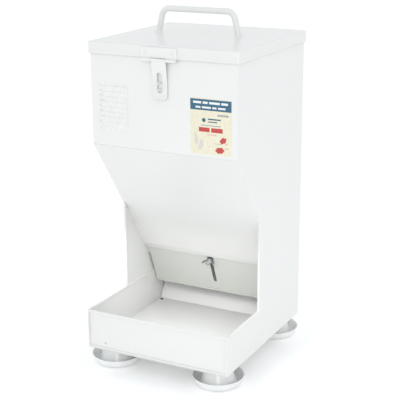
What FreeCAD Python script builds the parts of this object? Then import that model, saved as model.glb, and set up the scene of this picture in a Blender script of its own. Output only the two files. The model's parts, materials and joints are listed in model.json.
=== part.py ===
import FreeCAD, Part
import math
import os
import re
import Sketcher

# Gravity pet feeder in folded steel sheet, standing on four water-moat feet.
#
# Frame: millimetres, +Z up, -Y is the side the animal eats from, +X is the viewer's right.
# The origin is on the floor, in the middle of the footprint that the four feet make.
# Sub-parts are drawn from the body's own corner lines: y = 0 is the front panel's outer face
# and z = 0 the underside of the body. BODY_PLACE then lifts them onto the feet.

DIMENSIONS = (
    ("body_width", 220.0, "body, outside, left to right"),
    ("body_depth", 220.0, "body, outside, front panel to back panel"),
    ("lid_top", 434.0, "top of the lid above the underside of the body"),
    ("gauge", 0.8, "steel sheet"),
    ("knee_height", 292.7, "where the front panel turns into the slope"),
    ("lip_back", 131.5, "lower end of the slope, behind the front panel"),
    ("lip_height", 107.7, "lower end of the slope, above the underside"),
    ("recess_front", 73.0, "free front edge of the side panels, behind the front panel"),
    ("tray_reach", 30.6, "tray, in front of the front panel"),
    ("tray_wall", 57.3, "height of the tray's walls"),
    ("tray_recess", 3.0, "tray front wall, behind its own rim"),
    ("rim_turn", 3.0, "turned lips of the tray front wall"),
    ("hem", 5.0, "width of the folded safety hems"),
    ("hem_gauge", 1.0, "extra thickness that a hem adds"),
    ("rim_flange", 8.0, "flange turned in round the hopper mouth"),
    ("rim_gap", 0.2, "top of the body to the underside of the lid"),
    ("ramp_foot", 176.5, "front edge of the ramp, behind the front panel"),
    ("ramp_length", 78.0, "ramp, along its slope"),
    ("ramp_angle", 58.0, "ramp, degrees from level"),
    ("drain_offset", 104.5, "tray drain holes, from the centre line"),
    ("drain_back", 172.0, "tray drain holes, behind the front panel"),
    ("drain_bore", 2.0, "radius of a drain hole"),
    ("weep_offset", -82.3, "weep hole in the tray front wall, from the centre line"),
    ("weep_height", 8.8, "weep hole above the underside"),
    ("weep_bore", 1.4, "radius of the weep hole"),
    ("gate_width", 212.0, "feed gate, left to right"),
    ("gate_length", 88.0, "feed gate, along its slope"),
    ("gate_back", 163.0, "lower edge of the gate, behind the front panel"),
    ("gate_low", 37.5, "lower edge of the gate, above the underside"),
    ("gate_angle", 67.7, "gate, degrees from level"),
    ("gate_hem", 4.0, "folded lower edge of the gate"),
    ("slot_run", 42.0, "slot in the gate, between its end centres"),
    ("slot_bore", 2.8, "half the slot's width"),
    ("bolt_up", 62.7, "clamp bolt, up the gate from its lower edge"),
    ("bolt_bore", 2.5, "radius of the clamp bolt's shank"),
    ("bolt_head", 4.8, "radius of the clamp bolt's head"),
    ("bolt_head_rise", 2.8, "thickness of the clamp bolt's head"),
    ("bolt_reach", 13.0, "end of the clamp bolt, in front of the gate"),
    ("slide_gap", 0.3, "clearance on each side of the sliding gate"),
    ("bar_width", 16.0, "cross bar behind the gate"),
    ("bar_gauge", 2.0, "thickness of the cross bar"),
    ("washer_gauge", 1.0, "clamp washer"),
    ("washer_rim", 6.0, "outer radius of the clamp washer"),
    ("nut_rise", 5.2, "wing nut hub, along the bolt"),
    ("nut_foot", 5.0, "radius of the wing nut hub at its foot"),
    ("nut_crown", 3.9, "radius of the wing nut hub at its crown"),
    ("wing_reach", 10.5, "wing tips, from the bolt's axis"),
    ("wing_rise", 10.0, "wing tips, along the bolt"),
    ("wing_gauge", 1.6, "thickness of a wing"),
    ("lid_overhang", 2.9, "lid, outside the body all round"),
    ("lid_flange", 16.0, "depth of the lid's turned-down edge"),
    ("lid_round", 1.2, "rounding of the lid's top edges"),
    ("handle_offset", -7.0, "middle of the carry handle, from the centre line"),
    ("handle_back", 116.6, "carry handle, behind the front panel"),
    ("handle_half", 62.0, "carry handle foot, from the handle's middle"),
    ("handle_bar", 45.0, "half the straight part of the grip"),
    ("handle_bend", 12.0, "bend between grip and leg"),
    ("handle_rise", 34.0, "centre of the grip above the lid"),
    ("handle_rod", 4.3, "radius of the handle rod"),
    ("collar_rim", 6.2, "radius of the collars at the handle's feet"),
    ("collar_rise", 3.0, "height of those collars"),
    ("screw_bore", 2.0, "radius of the handle screws"),
    ("screw_reach", 7.2, "handle screws, above the lid's underside"),
    ("hinge_back", 225.8, "lid hinge axis, behind the front panel"),
    ("hinge_height", 414.5, "lid hinge axis, above the underside"),
    ("hinge_barrel", 2.9, "outer radius of the lid hinge's knuckles"),
    ("hinge_bore", 1.45, "bore of those knuckles"),
    ("hinge_pin", 1.4, "radius of the lid hinge pin"),
    ("hinge_length", 100.0, "length of the lid hinge"),
    ("leaf_gauge", 1.0, "thickness of hinge leaves and hasp plate"),
    ("leaf_drop", 26.0, "body leaf, below the hinge axis"),
    ("leaf_rise", 16.5, "lid leaf and hasp plate, above their axes"),
    ("knuckle_gap", 0.3, "end clearance between knuckles"),
    ("hasp_offset", -2.0, "middle of the hasp, from the centre line"),
    ("hasp_plate_width", 53.0, "hasp plate on the lid"),
    ("strap_width", 22.0, "hasp strap"),
    ("strap_gauge", 1.2, "thickness of the hasp strap"),
    ("hasp_height", 415.8, "hasp hinge axis, above the underside"),
    ("hasp_barrel", 2.2, "outer radius of the hasp's knuckles"),
    ("hasp_bore", 1.15, "bore of those knuckles"),
    ("hasp_pin_bore", 1.1, "radius of the hasp pin"),
    ("strap_bow_height", 408.0, "strap's upper bend, above the underside"),
    ("strap_bow_reach", 3.9, "back of the strap at its upper bend, in front of the front panel"),
    ("strap_flat_top", 382.0, "upper end of the strap's upright part"),
    ("strap_flat_low", 373.0, "lower end of the strap's upright part"),
    ("strap_flat_reach", 1.1, "back of the strap's upright part, in front of the front panel"),
    ("strap_toe_reach", 4.6, "back of the strap's flared end, in front of the front panel"),
    ("strap_end", 364.3, "lower end of the strap"),
    ("strap_slot_top", 401.0, "upper end of the strap's slot"),
    ("strap_slot_low", 372.5, "lower end of the strap's slot"),
    ("strap_slot_half", 3.8, "half the width of the strap's slot"),
    ("staple_low", 377.0, "lower leg of the staple"),
    ("staple_rise", 9.0, "staple legs, centre to centre"),
    ("staple_reach", 8.5, "straight part of the staple's legs"),
    ("staple_rod", 1.5, "radius of the staple's rod"),
    ("foot_offset", 81.8, "feet, from the centre line"),
    ("foot_front", 1.1, "front feet, behind the front panel"),
    ("foot_rear", 192.3, "rear feet, behind the front panel"),
    ("foot_height", 27.5, "height of a foot"),
    ("moat_rim", 36.5, "outer radius of the moat's rim"),
    ("moat_base", 29.8, "outer radius of the moat's base"),
    ("moat_rise", 13.2, "height of the moat's wall"),
    ("moat_gauge", 2.0, "wall of the foot"),
    ("cone_foot", 26.4, "radius of the pedestal where it leaves the moat"),
    ("cone_top", 17.0, "radius of the pedestal under the body"),
    ("foot_bore", 3.2, "bolt hole in the pedestal and the floor"),
    ("foot_crown", 3.0, "thickness of the pedestal's top"),
    ("foot_shank", 3.0, "radius of the foot bolts' shanks"),
    ("foot_nut_bore", 3.05, "bore of the foot nuts"),
    ("foot_flats", 10.0, "foot bolts and nuts, across flats"),
    ("foot_head_rise", 4.0, "thickness of a foot bolt's head"),
    ("foot_nut_rise", 5.0, "thickness of a foot nut"),
    ("foot_bolt_reach", 12.0, "length of a foot bolt's shank"),
    ("foot_washer_rim", 6.2, "outer radius of a foot washer"),
    ("foot_washer_gauge", 1.2, "thickness of a foot washer"),
    ("label_gauge", 0.2, "thickness of the stickers"),
    ("data_left", -101.4, "data label, left edge"),
    ("data_right", -51.9, "data label, right edge"),
    ("data_low", 311.7, "data label, lower edge"),
    ("data_top", 378.6, "data label, upper edge"),
    ("face_left", 41.8, "product label, left edge"),
    ("face_right", 101.2, "product label, right edge"),
    ("face_low", 296.6, "product label, lower edge"),
    ("face_top", 370.5, "product label, upper edge"),
    ("rivet_bore", 1.5, "radius of the rivets' shanks"),
)
ALIASES = {alias for alias, _, _ in DIMENSIONS}
ALONG_X = FreeCAD.Vector(1, 0, 0)
ALONG_Y = FreeCAD.Vector(0, 1, 0)
ALONG_Z = FreeCAD.Vector(0, 0, 1)
HINGE_RIVETS = (-38.0, 0.0, 38.0)
HASP_RIVETS = (-20.0, 20.0)
HINGE_KNUCKLES = 5
RIVET_HOLE = "rivet_bore + 0.1"
SCREW_HOLE = "screw_bore + 0.1"
BOLT_HOLE = "bolt_bore + 0.1"
BACK_RIVET_LINE = "hinge_height - leaf_drop / 1.5"
LID_RIVET_LINE = "hinge_height + leaf_rise / 1.5"
HASP_RIVET_LINE = "hasp_height + leaf_rise / 1.6"
FEET = (("front_left", -1, "foot_front"), ("front_right", 1, "foot_front"),
        ("rear_left", -1, "foot_rear"), ("rear_right", 1, "foot_rear"))

doc = FreeCAD.newDocument("feeder")
dims = doc.addObject("Spreadsheet::Sheet", "Dims")
for row, (alias, number, meaning) in enumerate(DIMENSIONS, start=1):
    dims.set(f"A{row}", meaning)
    dims.set(f"B{row}", str(number))
    dims.setAlias(f"B{row}", alias)
doc.recompute()
subparts = []


def size(alias):
    """The sheet's value of one driving dimension."""
    return float(dims.get(alias))


def bound(rule):
    """A rule in plain aliases, such as "body_width / 2 - gauge", as an expression on the sheet."""
    return re.sub(r"[a-z_]+", lambda word: "Dims." + word[0] if word[0] in ALIASES else word[0], rule)


def turned(degrees, y, z):
    """A frame on the body's side view: turned about X, with its origin at (y, z)."""
    rotation = FreeCAD.Rotation(ALONG_X, degrees)
    return BODY_PLACE * FreeCAD.Placement(FreeCAD.Vector(0, y, z), rotation)


BODY_PLACE = FreeCAD.Placement(
    FreeCAD.Vector(0, -(size("foot_front") + size("foot_rear")) / 2, size("foot_height")),
    FreeCAD.Rotation())
SLOPE_PLACE = turned(
    -math.degrees(math.atan2(size("knee_height") - size("lip_height"), size("lip_back"))),
    0, size("knee_height"))
RAMP_PLACE = turned(size("ramp_angle"), size("ramp_foot"), size("gauge"))
GATE_PLACE = turned(180 - size("gate_angle"), size("gate_back"), size("gate_low"))
GATE_BOLT_PLACE = GATE_PLACE * FreeCAD.Placement(FreeCAD.Vector(0, size("bolt_up"), 0), FreeCAD.Rotation())


# ---- drawing helpers ---------------------------------------------------------------------------

def new_body(label, place):
    body = doc.addObject("PartDesign::Body", label)
    body.Label = label
    body.Placement = place
    subparts.append(body)
    return body


def origin_plane(body, role):
    return next(item for item in body.Origin.OriginFeatures if item.Role == role)


def new_sketch(body, role, start="0"):
    """A sketch on one of the body's own origin planes, moved along that plane's normal."""
    sketch = body.newObject("Sketcher::SketchObject", "Sketch")
    sketch.AttachmentSupport = [(origin_plane(body, role), "")]
    sketch.MapMode = "FlatFace"
    sketch.setExpression("AttachmentOffset.Base.z", bound(start))
    return sketch


def hold_point(sketch, curve, point, u, v):
    """Ties one point of a curve to the sketch's origin, by two dimensions from the sheet."""
    drawn = sketch.getPoint(curve, point)
    for kind, rule, place in (("DistanceX", u, drawn.x), ("DistanceY", v, drawn.y)):
        index = sketch.addConstraint(Sketcher.Constraint(kind, -1, 1, curve, point, place))
        sketch.setExpression(f"Constraints[{index}]", bound(rule))


def draw_outline(sketch, corners):
    """A closed outline of straight edges, each corner held by dimensions from the sheet."""
    count = len(corners)
    first = sketch.GeometryCount
    angles = [2 * math.pi * step / count for step in range(count)]
    spread = [FreeCAD.Vector(math.cos(angle), math.sin(angle), 0) for angle in angles]
    for step in range(count):
        sketch.addGeometry(Part.LineSegment(spread[step], spread[(step + 1) % count]), False)
    for step, (u, v) in enumerate(corners):
        before = first + (step - 1) % count
        sketch.addConstraint(Sketcher.Constraint("Coincident", before, 2, first + step, 1))
        hold_point(sketch, first + step, 1, u, v)


def draw_circle(sketch, u, v, radius):
    """A circle, with its centre and radius held by dimensions from the sheet."""
    circle = sketch.addGeometry(Part.Circle(FreeCAD.Vector(1, 1, 0), ALONG_Z, 1.0), False)
    hold_point(sketch, circle, 3, u, v)
    index = sketch.addConstraint(Sketcher.Constraint("Radius", circle, 1.0))
    sketch.setExpression(f"Constraints[{index}]", bound(radius))


def box_corners(left, right, low, high):
    return ((left, low), (right, low), (right, high), (left, high))


def add_pad(body, role, outlines, start, length):
    """Raises closed outlines along the plane's normal, from start."""
    sketch = new_sketch(body, role, start)
    for corners in outlines:
        draw_outline(sketch, corners)
    pad = body.newObject("PartDesign::Pad", "Pad")
    pad.Profile = sketch
    pad.setExpression("Length", bound(length))
    doc.recompute()


def add_disc(body, role, spot, radius, start, length):
    """Raises one disc along the plane's normal, from start."""
    sketch = new_sketch(body, role, start)
    draw_circle(sketch, spot[0], spot[1], radius)
    pad = body.newObject("PartDesign::Pad", "Disc")
    pad.Profile = sketch
    pad.setExpression("Length", bound(length))
    doc.recompute()


def sweep(body, role, spot, radius, path):
    """A round rod along a path, from a circle drawn on one of the body's planes."""
    section = new_sketch(body, role)
    draw_circle(section, spot[0], spot[1], radius)
    rod = body.newObject("PartDesign::AdditivePipe", "Rod")
    rod.Profile = section
    rod.Spine = path
    doc.recompute()
    return rod


def cut(body, sketch, length):
    """Cuts a finished sketch along its plane's normal, and checks that metal was removed."""
    doc.recompute()
    before = body.Shape.Volume
    pocket = body.newObject("PartDesign::Pocket", "Pocket")
    pocket.Profile = sketch
    pocket.Reversed = True
    pocket.setExpression("Length", bound(length))
    doc.recompute()
    if body.Shape.Volume >= before:
        raise RuntimeError(f"{body.Label}: a pocket removed nothing")


def cut_holes(body, role, spots, radius, start, length):
    sketch = new_sketch(body, role, start)
    for u, v in spots:
        draw_circle(sketch, u, v, radius)
    cut(body, sketch, length)


def cut_outline(body, role, corners, start, length):
    sketch = new_sketch(body, role, start)
    draw_outline(sketch, corners)
    cut(body, sketch, length)


def revolve(body, corners):
    """Turns a closed outline on the XZ plane about Z."""
    sketch = new_sketch(body, "XZ_Plane")
    draw_outline(sketch, corners)
    turn = body.newObject("PartDesign::Revolution", "Revolution")
    turn.Profile = sketch
    turn.ReferenceAxis = (sketch, ["V_Axis"])
    turn.Angle = 360
    doc.recompute()


def round_edges(body, radius, wanted):
    """Fillets every edge of the body for which wanted(edge) is true."""
    base = body.Tip
    names = [f"Edge{index}" for index, edge in enumerate(base.Shape.Edges, start=1) if wanted(edge)]
    if not names:
        raise RuntimeError(f"{body.Label}: no edge to round")
    fillet = body.newObject("PartDesign::Fillet", "Fillet")
    fillet.Base = (base, names)
    fillet.Radius = radius
    doc.recompute()
    if not fillet.isValid():
        raise RuntimeError(f"{body.Label}: the rounding failed")


def runs_along(edge, direction):
    """True for a straight edge parallel to direction."""
    if not isinstance(edge.Curve, Part.Line):
        return False
    return abs(edge.Curve.Direction.dot(direction)) > 0.999


def middle(edge):
    return edge.CenterOfMass


def wall_start(side, inset, depth):
    """Where a layer of a side wall starts along X: inset from the outside, depth thick."""
    if side > 0:
        return f"body_width / 2 - ({inset}) - ({depth})"
    return f"-body_width / 2 + ({inset})"


def turned_solid(corners):
    """A solid of revolution about Z from (radius, height) corners."""
    points = [FreeCAD.Vector(radius, 0, height) for radius, height in corners]
    face = Part.Face(Part.makePolygon(points + points[:1]))
    return face.revolve(FreeCAD.Vector(), ALONG_Z, 360)


def fastener_group(label, solid, places, frame):
    """Identical fasteners as separate solids of one sub-part."""
    copies = []
    for place in places:
        copy = solid.copy()
        copy.Placement = place
        copies.append(copy)
    group = doc.addObject("Part::Feature", label)
    group.Label = label
    group.Shape = Part.makeCompound(copies)
    group.Placement = frame
    subparts.append(group)


def aimed(x, y, z, direction):
    """A placement that turns +Z to direction and moves the origin to (x, y, z)."""
    return FreeCAD.Placement(FreeCAD.Vector(x, y, z), FreeCAD.Rotation(ALONG_Z, direction))


# ---- the sheet-metal body ----------------------------------------------------------------------

SLOPE_RATE = "(knee_height - lip_height) / lip_back"
PANEL_TOP = "lid_top - gauge - rim_gap"
RECESS_TOP = f"knee_height - recess_front * {SLOPE_RATE}"
INNER = "body_width / 2 - gauge"


def side_panel(label, side):
    """L-shaped side with the tray wall in one piece, a hemmed free edge and a turned-in top."""
    body = new_body(label, BODY_PLACE)
    profile = (("-tray_reach", "0"), ("body_depth", "0"), ("body_depth", PANEL_TOP), ("0", PANEL_TOP),
               ("0", "knee_height"), ("recess_front", RECESS_TOP), ("recess_front", "tray_wall"),
               ("-tray_reach", "tray_wall"))
    add_pad(body, "YZ_Plane", [profile], wall_start(side, "0", "gauge"), "gauge")
    hem = (("recess_front", "tray_wall"), ("recess_front + hem", "tray_wall"),
           ("recess_front + hem", f"{RECESS_TOP} - hem * {SLOPE_RATE}"), ("recess_front", RECESS_TOP))
    add_pad(body, "YZ_Plane", [hem], wall_start(side, "gauge", "hem_gauge"), "hem_gauge")
    flange = box_corners("gauge + rim_flange", "body_depth - gauge - rim_flange",
                         f"{PANEL_TOP} - gauge", PANEL_TOP)
    add_pad(body, "YZ_Plane", [flange], wall_start(side, "gauge", "rim_flange"), "rim_flange")
    outer = side * size("body_width") / 2
    round_edges(body, 0.5, lambda edge: runs_along(edge, ALONG_Z) and abs(middle(edge).x - outer) < 0.01)


def front_panel():
    """Upright front of the hopper, with its top edge turned in."""
    body = new_body("front_panel", BODY_PLACE)
    profile = (("0", "knee_height"), ("gauge", "knee_height"), ("gauge", f"{PANEL_TOP} - gauge"),
               ("gauge + rim_flange", f"{PANEL_TOP} - gauge"), ("gauge + rim_flange", PANEL_TOP),
               ("0", PANEL_TOP))
    add_pad(body, "YZ_Plane", [profile], f"-({INNER})", "body_width - 2 * gauge")


def slope_panel():
    """Sloping front of the hopper, from the knee down to a hemmed lip."""
    body = new_body("slope_panel", SLOPE_PLACE)
    length = "sqrt(lip_back * lip_back + (knee_height - lip_height) * (knee_height - lip_height))"
    sheet = box_corners(f"-({INNER})", INNER, "0.6", length)
    add_pad(body, "XY_Plane", [sheet], "0", "gauge")
    hem = box_corners(f"-({INNER})", INNER, f"{length} - hem", length)
    add_pad(body, "XY_Plane", [hem], "gauge", "hem_gauge / 2")
    low = max(edge.CenterOfMass.y for edge in body.Tip.Shape.Edges)
    round_edges(body, 0.55, lambda edge: runs_along(edge, ALONG_X) and middle(edge).y > low - 0.01)


def back_panel():
    """Plain back with its top edge turned in, drilled for the lid hinge."""
    body = new_body("back_panel", BODY_PLACE)
    profile = (("body_depth - gauge", "0"), ("body_depth", "0"), ("body_depth", PANEL_TOP),
               ("body_depth - gauge - rim_flange", PANEL_TOP),
               ("body_depth - gauge - rim_flange", f"{PANEL_TOP} - gauge"),
               ("body_depth - gauge", f"{PANEL_TOP} - gauge"))
    add_pad(body, "YZ_Plane", [profile], f"-({INNER})", "body_width - 2 * gauge")
    spots = [(str(x), BACK_RIVET_LINE) for x in HINGE_RIVETS]
    cut_holes(body, "XZ_Plane", spots, RIVET_HOLE, "-body_depth - 1", "3")


def floor_panel():
    """Floor of the tray and of the body, drilled for the four feet and two drains."""
    body = new_body("floor_panel", BODY_PLACE)
    sheet = box_corners(f"-({INNER})", INNER, "-tray_reach", "body_depth - gauge")
    add_pad(body, "XY_Plane", [sheet], "0", "gauge")
    feet = [(f"{side} * foot_offset", place) for _, side, place in FEET]
    cut_holes(body, "XY_Plane", feet, "foot_bore", "-1", "3")
    drains = [(f"{side} * drain_offset", "drain_back") for side in (-1, 1)]
    cut_holes(body, "XY_Plane", drains, "drain_bore", "-1", "3")


def ramp_panel():
    """Sloping floor that sends the feed forward into the tray."""
    body = new_body("ramp_panel", RAMP_PLACE)
    sheet = box_corners(f"-({INNER} - gauge)", f"{INNER} - gauge", "0.6", "ramp_length")
    add_pad(body, "XY_Plane", [sheet], "-gauge", "gauge")


def tray_liner(label, side):
    """Inner skin of a tray side wall, running back to the ramp, with a thickened top edge."""
    body = new_body(label, BODY_PLACE)
    sheet = box_corners("-tray_reach", "ramp_foot - 1", "gauge", "tray_wall")
    add_pad(body, "YZ_Plane", [sheet], wall_start(side, "gauge", "gauge"), "gauge")
    bead = box_corners("-tray_reach + tray_recess + gauge + 0.2", "gate_back - 30",
                       "tray_wall - 2.4", "tray_wall")
    add_pad(body, "YZ_Plane", [bead], wall_start(side, "gauge * 2", "hem_gauge"), "hem_gauge")
    top = size("tray_wall")
    inboard = size("body_width") / 2 - 2 * size("gauge") - size("hem_gauge")
    round_edges(body, 0.6, lambda edge: runs_along(edge, ALONG_Y)
                and abs(middle(edge).z - top) < 0.01
                and abs(abs(middle(edge).x) - inboard) < 0.01)


def tray_front_wall():
    """Channel-shaped front of the tray: a wall set back behind its own turned lips."""
    body = new_body("tray_front_wall", BODY_PLACE)
    face = "-tray_reach + tray_recess"
    lip = "-tray_reach + gauge"
    profile = (("-tray_reach", "gauge"), (f"{face} + gauge", "gauge"), (f"{face} + gauge", "tray_wall"),
               ("-tray_reach", "tray_wall"), ("-tray_reach", "tray_wall - rim_turn"),
               (lip, "tray_wall - rim_turn"), (lip, "tray_wall - gauge"), (face, "tray_wall - gauge"),
               (face, "gauge * 2"), (lip, "gauge * 2"), (lip, "gauge + rim_turn"),
               ("-tray_reach", "gauge + rim_turn"))
    add_pad(body, "YZ_Plane", [profile], f"-({INNER} - gauge)", "body_width - 4 * gauge")
    cut_holes(body, "XZ_Plane", [("weep_offset", "weep_height")], "weep_bore",
              "tray_reach - tray_recess - gauge - 1", "gauge + 1.6")


# ---- the feed gate and its clamp ---------------------------------------------------------------

BAR_BACK = "-gauge - slide_gap - bar_gauge"
NUT_FOOT = "slide_gap + washer_gauge + 0.1"
NUT_TOP = f"{NUT_FOOT} + nut_rise"


def gate_plate():
    """Sliding gate with a hemmed lower edge and the slot that rides on the clamp bolt."""
    body = new_body("gate_plate", GATE_PLACE)
    sheet = box_corners("-gate_width / 2", "gate_width / 2", "0", "gate_length")
    add_pad(body, "XY_Plane", [sheet], "-gauge", "gauge")
    hem = box_corners("-gate_width / 2", "gate_width / 2", "0", "gate_hem")
    add_pad(body, "XY_Plane", [hem], "0", "hem_gauge")
    slot = box_corners("-slot_bore", "slot_bore", "bolt_up - slot_run", "bolt_up")
    cut_outline(body, "XY_Plane", slot, "-2", "4")
    ends = [("0", "bolt_up - slot_run"), ("0", "bolt_up")]
    cut_holes(body, "XY_Plane", ends, "slot_bore", "-2", "4")


def gate_cross_bar():
    """Flat bar welded across the throat behind the gate, which holds the clamp bolt."""
    body = new_body("gate_cross_bar", GATE_BOLT_PLACE)
    bar = box_corners(f"-({INNER})", INNER, "-bar_width / 2", "bar_width / 2")
    add_pad(body, "XY_Plane", [bar], BAR_BACK, "bar_gauge")
    cut_holes(body, "XY_Plane", [("0", "0")], BOLT_HOLE, f"{BAR_BACK} - 1", "bar_gauge + 2")


def gate_bolt():
    """Round-headed clamp bolt; the head bears on the back of the cross bar."""
    crown = f"{BAR_BACK} - bolt_head_rise"
    body = new_body("gate_bolt", GATE_BOLT_PLACE)
    revolve(body, (("0", crown), ("bolt_head - 1.6", crown), ("bolt_head", f"{crown} + 1.6"),
                   ("bolt_head", BAR_BACK), ("bolt_bore", BAR_BACK), ("bolt_bore", "bolt_reach - 0.6"),
                   ("bolt_bore - 0.6", "bolt_reach"), ("0", "bolt_reach")))


def gate_washer():
    """Plain washer between the gate and the wing nut."""
    body = new_body("gate_washer", GATE_BOLT_PLACE)
    revolve(body, ((BOLT_HOLE, "slide_gap"), ("washer_rim", "slide_gap"),
                   ("washer_rim", "slide_gap + washer_gauge"), (BOLT_HOLE, "slide_gap + washer_gauge")))


def wing_nut():
    """Tapered hub with two upswept wings."""
    body = new_body("wing_nut", GATE_BOLT_PLACE)
    revolve(body, (("0", NUT_FOOT), ("nut_foot", NUT_FOOT), ("nut_crown", NUT_TOP), ("0", NUT_TOP)))
    outline = (("nut_crown - 1.1", f"{NUT_FOOT} + 1"), ("nut_foot", f"{NUT_FOOT} + 1"),
               ("wing_reach - 1", f"{NUT_FOOT} + nut_foot"), ("wing_reach", f"{NUT_FOOT} + wing_rise"),
               ("wing_reach - 4", f"{NUT_FOOT} + wing_rise - 0.5"), ("nut_crown - 1.1", f"{NUT_TOP} - 0.4"))
    wings = [[(f"{side} * ({reach})", height) for reach, height in outline] for side in (-1, 1)]
    add_pad(body, "XZ_Plane", wings, "-wing_gauge / 2", "wing_gauge")
    cut_holes(body, "XY_Plane", [("0", "0")], "bolt_bore + 0.05", "0", "20")
    tip = size("wing_reach") - 4.5
    round_edges(body, 1.0, lambda edge: abs(middle(edge).x) > tip and runs_along(edge, ALONG_Y))


# ---- the lid, its hinge, handle and hasp -------------------------------------------------------

LID_HALF = "body_width / 2 + lid_overhang"
LID_FRONT = "-lid_overhang"
LID_BACK = "body_depth + lid_overhang"
LID_LOW = "lid_top - lid_flange"
HINGE_AXIS = ("hinge_back", "hinge_height")
HINGE_NEAR = "hinge_back - hinge_barrel"
HASP_AXIS = ("-lid_overhang - hasp_barrel", "hasp_height")


def lid_shell():
    """Shallow lid with turned-down edges all round."""
    body = new_body("lid_shell", BODY_PLACE)
    blank = box_corners(f"-({LID_HALF})", LID_HALF, LID_FRONT, LID_BACK)
    add_pad(body, "XY_Plane", [blank], LID_LOW, "lid_flange")
    top = size("lid_top")
    round_edges(body, size("lid_round"),
                lambda edge: runs_along(edge, ALONG_Z) or middle(edge).z > top - 0.01)
    hollow = box_corners(f"-({LID_HALF}) + gauge", f"{LID_HALF} - gauge",
                         f"{LID_FRONT} + gauge", f"{LID_BACK} - gauge")
    cut_outline(body, "XY_Plane", hollow, f"{LID_LOW} - 1", "lid_flange - gauge + 1")
    screws = [(f"handle_offset + {side} * handle_half", "handle_back") for side in (-1, 1)]
    cut_holes(body, "XY_Plane", screws, SCREW_HOLE, "lid_top - 2", "3")
    hinge = [(str(x), LID_RIVET_LINE) for x in HINGE_RIVETS]
    cut_holes(body, "XZ_Plane", hinge, RIVET_HOLE, f"-({LID_BACK}) - 1", "3")
    hasp = [(f"hasp_offset + {x}", HASP_RIVET_LINE) for x in HASP_RIVETS]
    cut_holes(body, "XZ_Plane", hasp, RIVET_HOLE, "lid_overhang - 2", "3")


def knuckle_spans(length, count, turn):
    """X limits of every second knuckle of a barrel, starting with number turn."""
    pitch = length / count
    gap = size("knuckle_gap") / 2
    return [(-length / 2 + pitch * step + gap, -length / 2 + pitch * (step + 1) - gap)
            for step in range(turn, count, 2)]


def add_knuckles(body, spans, axis, barrel, bore, web, shift=0.0):
    """Barrel sections with their webs, then the bore through all of them."""
    for low, high in spans:
        start, length = str(low + shift), str(high - low)
        add_pad(body, "YZ_Plane", [web], start, length)
        add_disc(body, "YZ_Plane", axis, barrel, start, length)
    cut_holes(body, "YZ_Plane", [axis], bore, "-body_width", "2 * body_width")


def hinge_body_leaf():
    """Leaf on the back panel, joggled out to the knuckles."""
    body = new_body("hinge_body_leaf", BODY_PLACE)
    plate = box_corners("body_depth", "body_depth + leaf_gauge",
                        "hinge_height - leaf_drop", "hinge_height - 7")
    add_pad(body, "YZ_Plane", [plate], "-hinge_length / 2", "hinge_length")
    web = (("body_depth", "hinge_height - 7.5"), ("body_depth + leaf_gauge", "hinge_height - 7.5"),
           (f"{HINGE_NEAR} + leaf_gauge", "hinge_height - 3"),
           (f"{HINGE_NEAR} + leaf_gauge", "hinge_height"), (HINGE_NEAR, "hinge_height"),
           (HINGE_NEAR, "hinge_height - 2.6"), ("body_depth", "hinge_height - 6.6"))
    spans = knuckle_spans(size("hinge_length"), HINGE_KNUCKLES, 0)
    add_knuckles(body, spans, HINGE_AXIS, "hinge_barrel", "hinge_bore", web)
    spots = [(str(x), BACK_RIVET_LINE) for x in HINGE_RIVETS]
    cut_holes(body, "XZ_Plane", spots, RIVET_HOLE, "-body_depth - leaf_gauge - 1", "leaf_gauge + 2")


def hinge_lid_leaf():
    """Leaf on the lid's rear flange."""
    body = new_body("hinge_lid_leaf", BODY_PLACE)
    outer = f"{HINGE_NEAR} + leaf_gauge"
    plate = box_corners(HINGE_NEAR, outer, "hinge_height + 3.7", "hinge_height + leaf_rise")
    add_pad(body, "YZ_Plane", [plate], "-hinge_length / 2", "hinge_length")
    web = box_corners(HINGE_NEAR, outer, "hinge_height", "hinge_height + 4")
    spans = knuckle_spans(size("hinge_length"), HINGE_KNUCKLES, 1)
    add_knuckles(body, spans, HINGE_AXIS, "hinge_barrel", "hinge_bore", web)
    spots = [(str(x), LID_RIVET_LINE) for x in HINGE_RIVETS]
    cut_holes(body, "XZ_Plane", spots, RIVET_HOLE, f"-({outer}) - 1", "leaf_gauge + 2")


def round_pin(label, radius, length, y, z, x):
    """A plain pin along X with domed-off ends."""
    place = BODY_PLACE * aimed(x, y, z, ALONG_X)
    body = new_body(label, place)
    revolve(body, (("0", f"-({length}) / 2"), (f"{radius} - 0.3", f"-({length}) / 2"),
                   (radius, f"-({length}) / 2 + 0.3"), (radius, f"({length}) / 2 - 0.3"),
                   (f"{radius} - 0.3", f"({length}) / 2"), ("0", f"({length}) / 2")))


def handle_path(body):
    """Half of the handle's centre line: grip, bend and splayed leg, joined smoothly."""
    path = new_sketch(body, "XZ_Plane")
    rise, bend, bar = (size(name) for name in ("handle_rise", "handle_bend", "handle_bar"))
    centre = FreeCAD.Vector(bar, rise - bend, 0)
    foot = FreeCAD.Vector(size("handle_half"), size("collar_rise") * 0.7, 0)
    lean = math.atan2(foot.y - centre.y, foot.x - centre.x) + math.acos(bend / foot.distanceToPoint(centre))
    touch = centre + FreeCAD.Vector(bend * math.cos(lean), bend * math.sin(lean), 0)
    circle = Part.Circle(centre, ALONG_Z, bend)
    grip = path.addGeometry(
        Part.LineSegment(FreeCAD.Vector(0, rise, 0), FreeCAD.Vector(bar, rise, 0)), False)
    arc = path.addGeometry(Part.ArcOfCircle(circle, lean, math.pi / 2), False)
    leg = path.addGeometry(Part.LineSegment(touch, foot), False)
    hold_point(path, grip, 1, "0", "handle_rise")
    hold_point(path, arc, 3, "handle_bar", "handle_rise - handle_bend")
    hold_point(path, leg, 2, "handle_half", "collar_rise * 0.7")
    path.addConstraint(Sketcher.Constraint("Horizontal", grip))
    path.addConstraint(Sketcher.Constraint("Tangent", grip, 2, arc, 2))
    path.addConstraint(Sketcher.Constraint("Tangent", arc, 1, leg, 1))
    return path


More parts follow.
